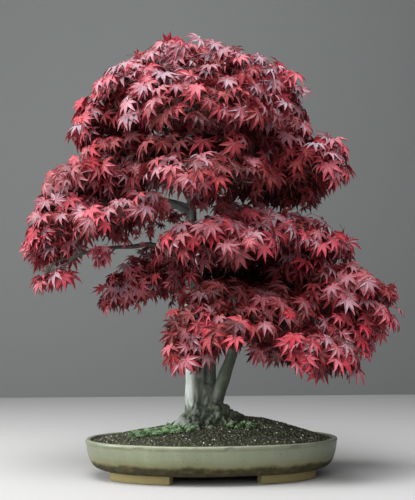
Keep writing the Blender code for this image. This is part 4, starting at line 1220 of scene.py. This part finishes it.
def foot_mesh(sign_x, sign_y):
    """One of the four feet: a curved bar with rounded ends that follows the pot's outline."""
    length = POT_LENGTH - 2.0 * (POT_TAPER + FOOT_INSET)
    width = POT_WIDTH - 2.0 * (POT_TAPER + FOOT_INSET)
    fine = np.linspace(0.0, math.pi / 2, 1600)
    x, y = oval(fine, length, width)
    inside = (x > FOOT_GAP_MIDDLE / 2 + 0.001) & (y > FOOT_GAP_END / 2 + 0.001)
    turns = np.linspace(fine[inside][0], fine[inside][-1], 34)
    top = FOOT_HEIGHT + 0.5 * POT_FLOOR
    section = ((0.0, top), (0.0, 0.003), (0.0010, 0.0008), (0.0026, 0.0), (FOOT_WIDTH - 0.003, 0.0),
               (FOOT_WIDTH, 0.002), (FOOT_WIDTH, top))
    points, faces = [], []
    for turn in turns:
        for inset, height in section:
            px, py = oval(np.array([turn]), length - 2 * inset, width - 2 * inset)
            points.append((sign_x * px[0], sign_y * py[0], height))
    n = len(section)
    for i in range(len(turns) - 1):
        for k in range(n):
            after = (k + 1) % n
            faces.append((i * n + k, i * n + after, (i + 1) * n + after, (i + 1) * n + k))
    faces.append(tuple(range(n)))
    faces.append(tuple(reversed(range((len(turns) - 1) * n, len(turns) * n))))
    return np.array(points), faces


def cutting_tool(name, middle, size=None, radius=0.0):
    """For a boolean: a block of that size, or else an upright rod of that radius."""
    form = bmesh.new()
    if size:
        bmesh.ops.create_cube(form, size=1.0)
        bmesh.ops.scale(form, vec=size, verts=form.verts)
    else:
        bmesh.ops.create_cone(form, cap_ends=True, segments=40, radius1=radius, radius2=radius, depth=ROD_LENGTH)
    bmesh.ops.translate(form, vec=middle, verts=form.verts)
    mesh = bpy.data.meshes.new(name)
    form.to_mesh(mesh)
    form.free()
    return link_object(name, mesh)


def outward_normals(thing):
    form = bmesh.new()
    form.from_mesh(thing.data)
    bmesh.ops.recalc_face_normals(form, faces=form.faces)
    form.to_mesh(thing.data)
    form.free()


def carve(thing, operation, tools, material):
    """Add the tools to a closed shape or cut them from it, and do away with them."""
    for tool in tools:
        step = thing.modifiers.new(tool.name, "BOOLEAN")
        step.operation, step.solver, step.object = operation, "EXACT", tool
    settle(thing)
    for tool in tools:
        bpy.data.objects.remove(tool, do_unlink=True)
    thing.data.shade_smooth()
    thing.data.materials.clear()
    thing.data.materials.append(material)


def make_pot(material):
    pot = mesh_object("pot_body", *rings_mesh([pot_ring(*step) for step in pot_profile()], POT_SIDES, 0.0005),
                      material)
    feet = [mesh_object("foot_%d_%d" % signs, *foot_mesh(*signs)) for signs in ((-1, -1), (-1, 1), (1, -1), (1, 1))]
    for thing in (pot, *feet):
        outward_normals(thing)
    holes = [(DRAIN_HOLE_RADIUS, x, 0.0) for x in DRAIN_HOLES] + [(WIRE_HOLE_RADIUS, x, y) for x, y in WIRE_HOLES]
    rods = [cutting_tool("hole_%d" % i, (x, y, FOOT_HEIGHT + POT_FLOOR / 2), radius=radius)
            for i, (radius, x, y) in enumerate(holes)]
    carve(pot, "UNION", feet, material)
    carve(pot, "DIFFERENCE", rods, material)
    pot.data.set_sharp_from_angle(angle=math.radians(38))
    return pot


# ================================================================ soil and moss
def mound_height(x, y):
    """Height of the smooth mound under a point, from the rings it is built on."""
    inset = POT_WALL + 0.0027
    length, width = POT_LENGTH - 2 * inset, POT_WIDTH - 2 * inset
    last = SOIL_EDGE
    for (share_a, rise_a, shift_a), (share_b, rise_b, shift_b) in zip(MOUND_STEPS, MOUND_STEPS[1:]):
        for t in np.linspace(0.0, 1.0, 9):
            share = share_a + (share_b - share_a) * t
            shift = shift_a + (shift_b - shift_a) * t
            dx = (x - shift * MOUND_OFFSET[0]) / (0.5 * length * share)
            dy = (y - shift * MOUND_OFFSET[1]) / (0.5 * width * share)
            if abs(dx) ** OVAL_POWER + abs(dy) ** OVAL_POWER > 1.0:
                return last
            last = SOIL_EDGE + (rise_a + (rise_b - rise_a) * t) * MOUND_RISE
    return last


def make_soil_body(material):
    """The mound and the packed soil under it, with room for the drain screens."""
    floor = FOOT_HEIGHT + POT_FLOOR
    depth = POT_HEIGHT - floor
    rings = [pot_ring(POT_WALL + inset * POT_TAPER + SOIL_GAP, floor + rise * depth + lift)
             for (inset, rise), lift in zip(reversed(INNER_CURVE), (0.0003, 0.0, 0.0))]
    rings.append(pot_ring(POT_WALL + 0.0024 + SOIL_GAP, SOIL_EDGE - 0.002))
    flat_sides = len(rings) + 1
    length, width = (size - 2 * (POT_WALL + 0.0021 + SOIL_GAP) for size in (POT_LENGTH, POT_WIDTH))
    shares = np.array(MOUND_STEPS)
    for t in np.linspace(0.0, len(shares) - 1.0, 40):
        share, rise, shift = (np.interp(t, np.arange(len(shares)), shares[:, k]) for k in range(3))
        rings.append((share * length, share * width, SOIL_EDGE + rise * MOUND_RISE,
                      shift * MOUND_OFFSET[0], shift * MOUND_OFFSET[1]))
    points, faces = rings_mesh(rings, SOIL_SIDES)
    for point in points[flat_sides * SOIL_SIDES:]:
        spot = Vector(point)
        point[2] += 0.0013 * noise.noise(spot * 45.0) + 0.0008 * noise.noise(spot * 130.0) - 0.0006
    soil = mesh_object("soil_mound", points, faces, material)
    outward_normals(soil)
    carve(soil, "DIFFERENCE", [cutting_tool("screen_room_%d" % i, (x, 0.0, SCREEN_ROOM_HEIGHT), size=SCREEN_ROOM)
                               for i, x in enumerate(DRAIN_HOLES)], material)
    store(soil.data, "grain_tone", np.full(len(soil.data.vertices), 0.18))
    return soil


def grain_tree():
    """Scatters granules over the mound's top, and pale grit among them."""
    tree, start, end = geometry_tree("granules_on_mound", [("Granules Per Area", "NodeSocketFloat", 84000.0),
                                                           ("Grit Per Area", "NodeSocketFloat", 1000.0),
                                                           ("Granule Radius", "NodeSocketFloat", 0.0017),
                                                           ("Seed", "NodeSocketInt", 5),
                                                           ("Soil Material", "NodeSocketMaterial", None)])

    def above(value, least):
        return put(tree, "FunctionNodeCompare", {0: value, 1: least}, data_type="FLOAT",
                   operation="GREATER_THAN").outputs[0]

    def varied(kind, inputs, seed):
        return put(tree, "FunctionNodeRandomValue", {**inputs, "Seed": seed}, data_type=kind)

    def tagged(geometry, name, value):
        return put(tree, "GeometryNodeStoreNamedAttribute", {"Geometry": geometry, "Name": name, "Value": value},
                   data_type="FLOAT", domain="INSTANCE").outputs["Geometry"]

    upward = along_axis(tree, put(tree, "GeometryNodeInputNormal").outputs["Normal"], "Z")
    height = along_axis(tree, put(tree, "GeometryNodeInputPosition").outputs[0], "Z")
    on_top = put(tree, "FunctionNodeBooleanMath", {0: above(upward, 0.5), 1: above(height, 0.058)}, operation="AND")
    pebble = put(tree, "GeometryNodeMeshIcoSphere", {"Radius": start.outputs["Granule Radius"], "Subdivisions": 1})
    both = tree.nodes.new("GeometryNodeJoinGeometry")
    for density, small, large, dark, pale, step in (("Granules Per Area", 0.55, 1.25, 0.05, 0.72, 0),
                                                    ("Grit Per Area", 0.70, 1.45, 0.86, 1.0, 10)):
        points = put(tree, "GeometryNodeDistributePointsOnFaces",
                     {"Mesh": start.outputs["Geometry"], "Selection": on_top.outputs[0],
                      "Density": start.outputs[density], "Seed": plus(tree, start.outputs["Seed"], float(step))})
        stretch = varied("FLOAT_VECTOR", {0: (small, small, small * 0.8), 1: (large, large, large)}, step + 1)
        spin = varied("FLOAT_VECTOR", {0: (0.0, 0.0, 0.0), 1: (6.283, 6.283, 6.283)}, step + 2)
        tone = varied("FLOAT", {2: dark, 3: pale}, step + 3)
        grains = put(tree, "GeometryNodeInstanceOnPoints",
                     {"Points": points.outputs["Points"], "Instance": pebble.outputs["Mesh"],
                      "Rotation": spin.outputs[0], "Scale": stretch.outputs[0]}).outputs["Instances"]
        number = plus(tree, put(tree, "GeometryNodeInputIndex").outputs[0], 20000.0 * step + 1.0)
        grains = tagged(tagged(grains, "grain_tone", tone.outputs[1]), "grain_number", number)
        real = put(tree, "GeometryNodeRealizeInstances", {"Geometry": grains}).outputs[0]
        tree.links.new(real, both.inputs[0])
    return close_tree(tree, both.outputs[0], start.outputs["Soil Material"], end)


def ball_local(mesh, number):
    """Each corner's place in its own little thing, seen from above."""
    spots = coordinates(mesh)
    which = np.unique(number, return_inverse=True)[1]
    counts = np.bincount(which)
    middle = np.stack([np.bincount(which, spots[:, k]) / counts for k in range(2)], 1)
    offset = spots[:, :2] - middle[which]
    reach = np.zeros(len(counts))
    np.maximum.at(reach, which, np.abs(offset).max(1))
    local = 0.5 + 0.5 * offset / np.maximum(reach[which], 1e-6)[:, None]
    return local[corner_points(mesh)]


def make_granules(body, material):
    granules = link_object("soil_granules", body.data.copy())
    run_tree(granules, grain_tree(), {"Granules Per Area": GRANULES_PER_AREA, "Grit Per Area": GRIT_PER_AREA,
                                      "Granule Radius": GRANULE_RADIUS, "Seed": GRANULE_SEED,
                                      "Soil Material": material})
    mesh = granules.data
    number = read(mesh, "grain_number")
    lay_in_cells(mesh, number, ball_local(mesh, number))
    drop(mesh, ("grain_number",))
    return granules


def sprig_kind():
    """A tiny moss sprig: a stem's worth of pointed leaves around a middle."""
    points, faces = [], []
    for level, (height, reach, lift) in enumerate(((0.15, 0.55, 0.35), (0.45, 0.50, 0.55), (0.75, 0.34, 0.60))):
        for k in range(4):
            turn = 2 * math.pi * (k + 0.5 * (level % 2)) / 4
            out = np.array([math.cos(turn), math.sin(turn), 0.0])
            side = np.array([-math.sin(turn), math.cos(turn), 0.0]) * 0.13
            start = np.array([0.0, 0.0, height])
            first = len(points)
            points += [start, start + out * reach * 0.5 + side + np.array([0, 0, lift * 0.5]),
                       start + out * reach + np.array([0, 0, lift]),
                       start + out * reach * 0.5 - side + np.array([0, 0, lift * 0.5])]
            faces.append((first, first + 3, first + 2, first + 1))
    return mesh_object("sprig_kind", np.array(points), faces, smooth=False)


def make_moss(name, brightness, sprig, tree, material, number):
    """Moss sprigs over the patch that the solid marks out, thinner towards its edge."""
    rng = np.random.default_rng(MOSS_SEED + number)
    low, high = (np.array(corner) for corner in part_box(name))
    middle, half = (low[:2] + high[:2]) / 2, (high[:2] - low[:2]) / 2
    count = int(half[0] * half[1] * math.pi * SPRIGS_PER_AREA)
    spread = rng.uniform(-1.0, 1.0, (count * 2, 2))
    lumps = np.array([noise.noise(Vector((*(p * half * 150.0), 3.0 + number))) for p in spread])
    radius = np.linalg.norm(spread, axis=1)
    keep = (radius - 0.45 * lumps < 1.0) & (lumps > -0.18 + 0.16 * radius ** 3)
    spread, lumps, radius = spread[keep][:count], lumps[keep][:count], radius[keep][:count]
    flat = middle + spread * half * 1.18
    heights = np.array([mound_height(x, y) for x, y in flat])
    spots = np.stack([flat[:, 0], flat[:, 1], heights + 0.0008 + 0.0055 * np.clip(lumps, 0.0, 1.0)], 1)
    total = len(spots)
    fields = {"up": unit(np.array([0.0, 0.0, 1.0]) + rng.normal(0, 0.45, (total, 3)) * np.array([1.0, 1.0, 0.2])),
              "forward": unit(rng.normal(0, 1.0, (total, 3))),
              "size": rng.uniform(0.55, 1.15, total) * (1.1 - 0.4 * radius),
              "sprig_tone": np.clip(-0.02 + 0.45 * brightness + 1.60 * lumps + rng.normal(0, 0.26, total),
                                    0.02, 1.0)}
    return scattered(name, name.replace("moss", "moss_sprigs"), spots, fields, tree,
                     {"Sprig": sprig, "Sprig Scale": SPRIG_HEIGHT, "Sprig Material": material}, ball_local)


# ================================================================ stage
def add_light(name, place_at, aim_at, width, height, power, colour=(1.0, 1.0, 1.0)):
    lamp = bpy.data.lights.new(name, "AREA")
    lamp.shape, lamp.size, lamp.size_y = "RECTANGLE", width, height
    lamp.energy, lamp.color = power, colour
    thing = link_object(name, lamp)
    thing.location = place_at
    thing.rotation_euler = (Vector(aim_at) - Vector(place_at)).to_track_quat("-Z", "Y").to_euler()


def plain_sheet(name, corners, colour):
    material, _, shader = new_material(name.replace("_", " "), 0.85)
    shader.inputs["Base Color"].default_value = (*colour, 1.0)
    return mesh_object(name, corners, [(0, 1, 2, 3)], material, smooth=False)


def make_stage():
    floor = plain_sheet("studio_floor", [(-4, -4, -0.0002), (4, -4, -0.0002), (4, 4, -0.0002), (-4, 4, -0.0002)],
                        (0.46, 0.455, 0.45))
    wall = plain_sheet("studio_wall", [(-6, 2.4, -0.5), (6, 2.4, -0.5), (6, 2.4, 5.0), (-6, 2.4, 5.0)],
                       (0.150, 0.156, 0.155))
    world = bpy.data.worlds.new("soft_room")
    world.use_nodes = True
    sky = world.node_tree.nodes["Background"].inputs
    sky["Color"].default_value = (0.9, 0.95, 1.0, 1.0)
    sky["Strength"].default_value = 0.12
    bpy.context.scene.world = world
    add_light("window", (-2.4, -0.45, 0.95), (0.0, 0.0, 0.34), 1.1, 1.4, 78.0, (1.0, 1.0, 0.98))
    add_light("overhead", (-0.3, -0.9, 2.4), (0.0, 0.0, 0.45), 1.6, 1.4, 78.0, (0.97, 0.98, 1.0))
    add_light("front_fill", (-0.5, -2.7, 1.4), (0.0, 0.0, 0.62), 1.8, 1.8, 42.0)
    add_light("wall_wash", (0.0, 1.0, 3.2), (0.0, 2.4, 1.6), 3.0, 0.6, 14.0)


def make_camera():
    """Level with the pot's upper half, a little to the left of the front, tilted up at the crown."""
    spot = Vector((CAMERA_DISTANCE * math.sin(CAMERA_SIDE), -CAMERA_DISTANCE * math.cos(CAMERA_SIDE), CAMERA_HEIGHT))
    ahead = Matrix.Rotation(CAMERA_SWING, 3, "Z") @ Vector((-spot.x, -spot.y, 0.0)).normalized()
    right = Vector((ahead.y, -ahead.x, 0.0))
    forward = ahead * math.cos(CAMERA_TILT) + Vector((0, 0, 1)) * math.sin(CAMERA_TILT)
    upward = right.cross(forward)
    across = right * math.cos(CAMERA_ROLL) - upward * math.sin(CAMERA_ROLL)
    upward = right * math.sin(CAMERA_ROLL) + upward * math.cos(CAMERA_ROLL)
    data = bpy.data.cameras.new("camera")
    data.sensor_fit, data.sensor_height, data.lens = "VERTICAL", 24.0, CAMERA_LENS
    data.clip_start = 0.05
    camera = link_object("camera", data)
    turn = Matrix((across, upward, -forward)).transposed()
    camera.matrix_world = Matrix.Translation(spot) @ turn.to_4x4()
    bpy.context.scene.camera = camera


# ================================================================ the whole tree
def declare(piece, slot, *nodes):
    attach(piece, "root")
    if nodes:
        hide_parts(*nodes)


def repaint(node, material):
    """A better finish on a CAD piece that stays."""
    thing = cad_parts[node]
    for i in range(len(thing.material_slots)):
        thing.material_slots[i].material = material


def fill_pad(name, low, high, number):
    """All the leaves of one pad: its own, its bridges and its tufts."""
    looks = PAD_LOOKS.get(name, PAD_PLAIN)
    bunch = grow_pad(low, high, looks, 1.0, PAD_SEED + number)
    if name in BRIDGE_TILT:
        bunch["spots"][:, 2] += BRIDGE_TILT[name] * np.maximum(0.0, bunch["spots"][:, 0] + 0.02)
    for k, (pad, *box, tone, vivid, dust_and_sheen, density) in enumerate(BRIDGES):
        if pad == name:
            corners = np.array(box, float).T * MM
            more = grow_pad(*corners, (looks[0], tone, vivid, dust_and_sheen), density, BRIDGE_SEED + k)
            bunch = together(bunch, more)
    bunch = shaded(trimmed(bunch, name))
    for k, (pad, *tuft) in enumerate(TUFTS):
        if pad == name:
            bunch = together(bunch, grow_tuft(*tuft, seed=TUFT_SEED + k))
    return bunch


def build():
    bark, leaf, glaze = bark_material(), leaf_material(), glaze_material()
    earth, green = soil_material(), moss_material()
    pads = {name.removeprefix("leaves_"): [np.array(corner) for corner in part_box(name)]
            for name in sorted(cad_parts) if name.startswith("leaves_")}

    declare(make_wood(bark), "bark", "trunk_and_branches")
    declare(make_twigs(bark, pads), "bark")
    declare(make_pot(glaze), "glazed_pot", "pot")
    body = make_soil_body(earth)
    granules = make_granules(body, earth)
    declare(body, "soil", "soil")
    declare(granules, "soil")

    sprig, sprigs = sprig_kind(), scatter_tree("sprigs_on_points", "Sprig")
    for i, (name, brightness) in enumerate(MOSS_PATCHES.items()):
        declare(make_moss(name, brightness, sprig, sprigs, green, i), "moss", name)

    kinds = bpy.data.collections.new("leaf_kinds")
    bpy.context.scene.collection.children.link(kinds)
    templates = [make_leaf_kind(i) for i in range(LEAF_KINDS)]
    for template in templates:
        bpy.context.scene.collection.objects.unlink(template)
        kinds.objects.link(template)
    tree = scatter_tree("leaves_on_points", "Leaf", picked=True)
    for i, (name, (low, high)) in enumerate(pads.items()):
        declare(make_leaves(name, fill_pad(name, low, high, i), kinds, tree, leaf), "maple_leaf", "leaves_" + name)
    for template in (sprig, *templates):
        bpy.data.objects.remove(template, do_unlink=True)
    bpy.data.collections.remove(kinds)

    plastic = small_part_material("screen plastic", 0.0, (300.0, 0.65),
                                  ((0.35, (0.016, 0.016, 0.017)), (0.6, (0.034, 0.032, 0.030)),
                                   (0.8, (0.110, 0.092, 0.066))), (0.45, 0.8), (0.3, 0.0004))
    clip_wire = small_part_material("clip wire", 1.0, (400.0, 0.6),
                                    ((0.35, (0.260, 0.240, 0.210)), (0.55, (0.520, 0.500, 0.470)),
                                     (0.75, (0.640, 0.620, 0.590))), (0.6, 0.32), (0.25, 0.0003))
    for side in ("left", "right"):
        repaint("drain_screen_" + side, plastic)
        repaint("screen_clip_" + side, clip_wire)


build()
make_stage()
make_camera()
bpy.context.scene.view_settings.view_transform = "Standard"
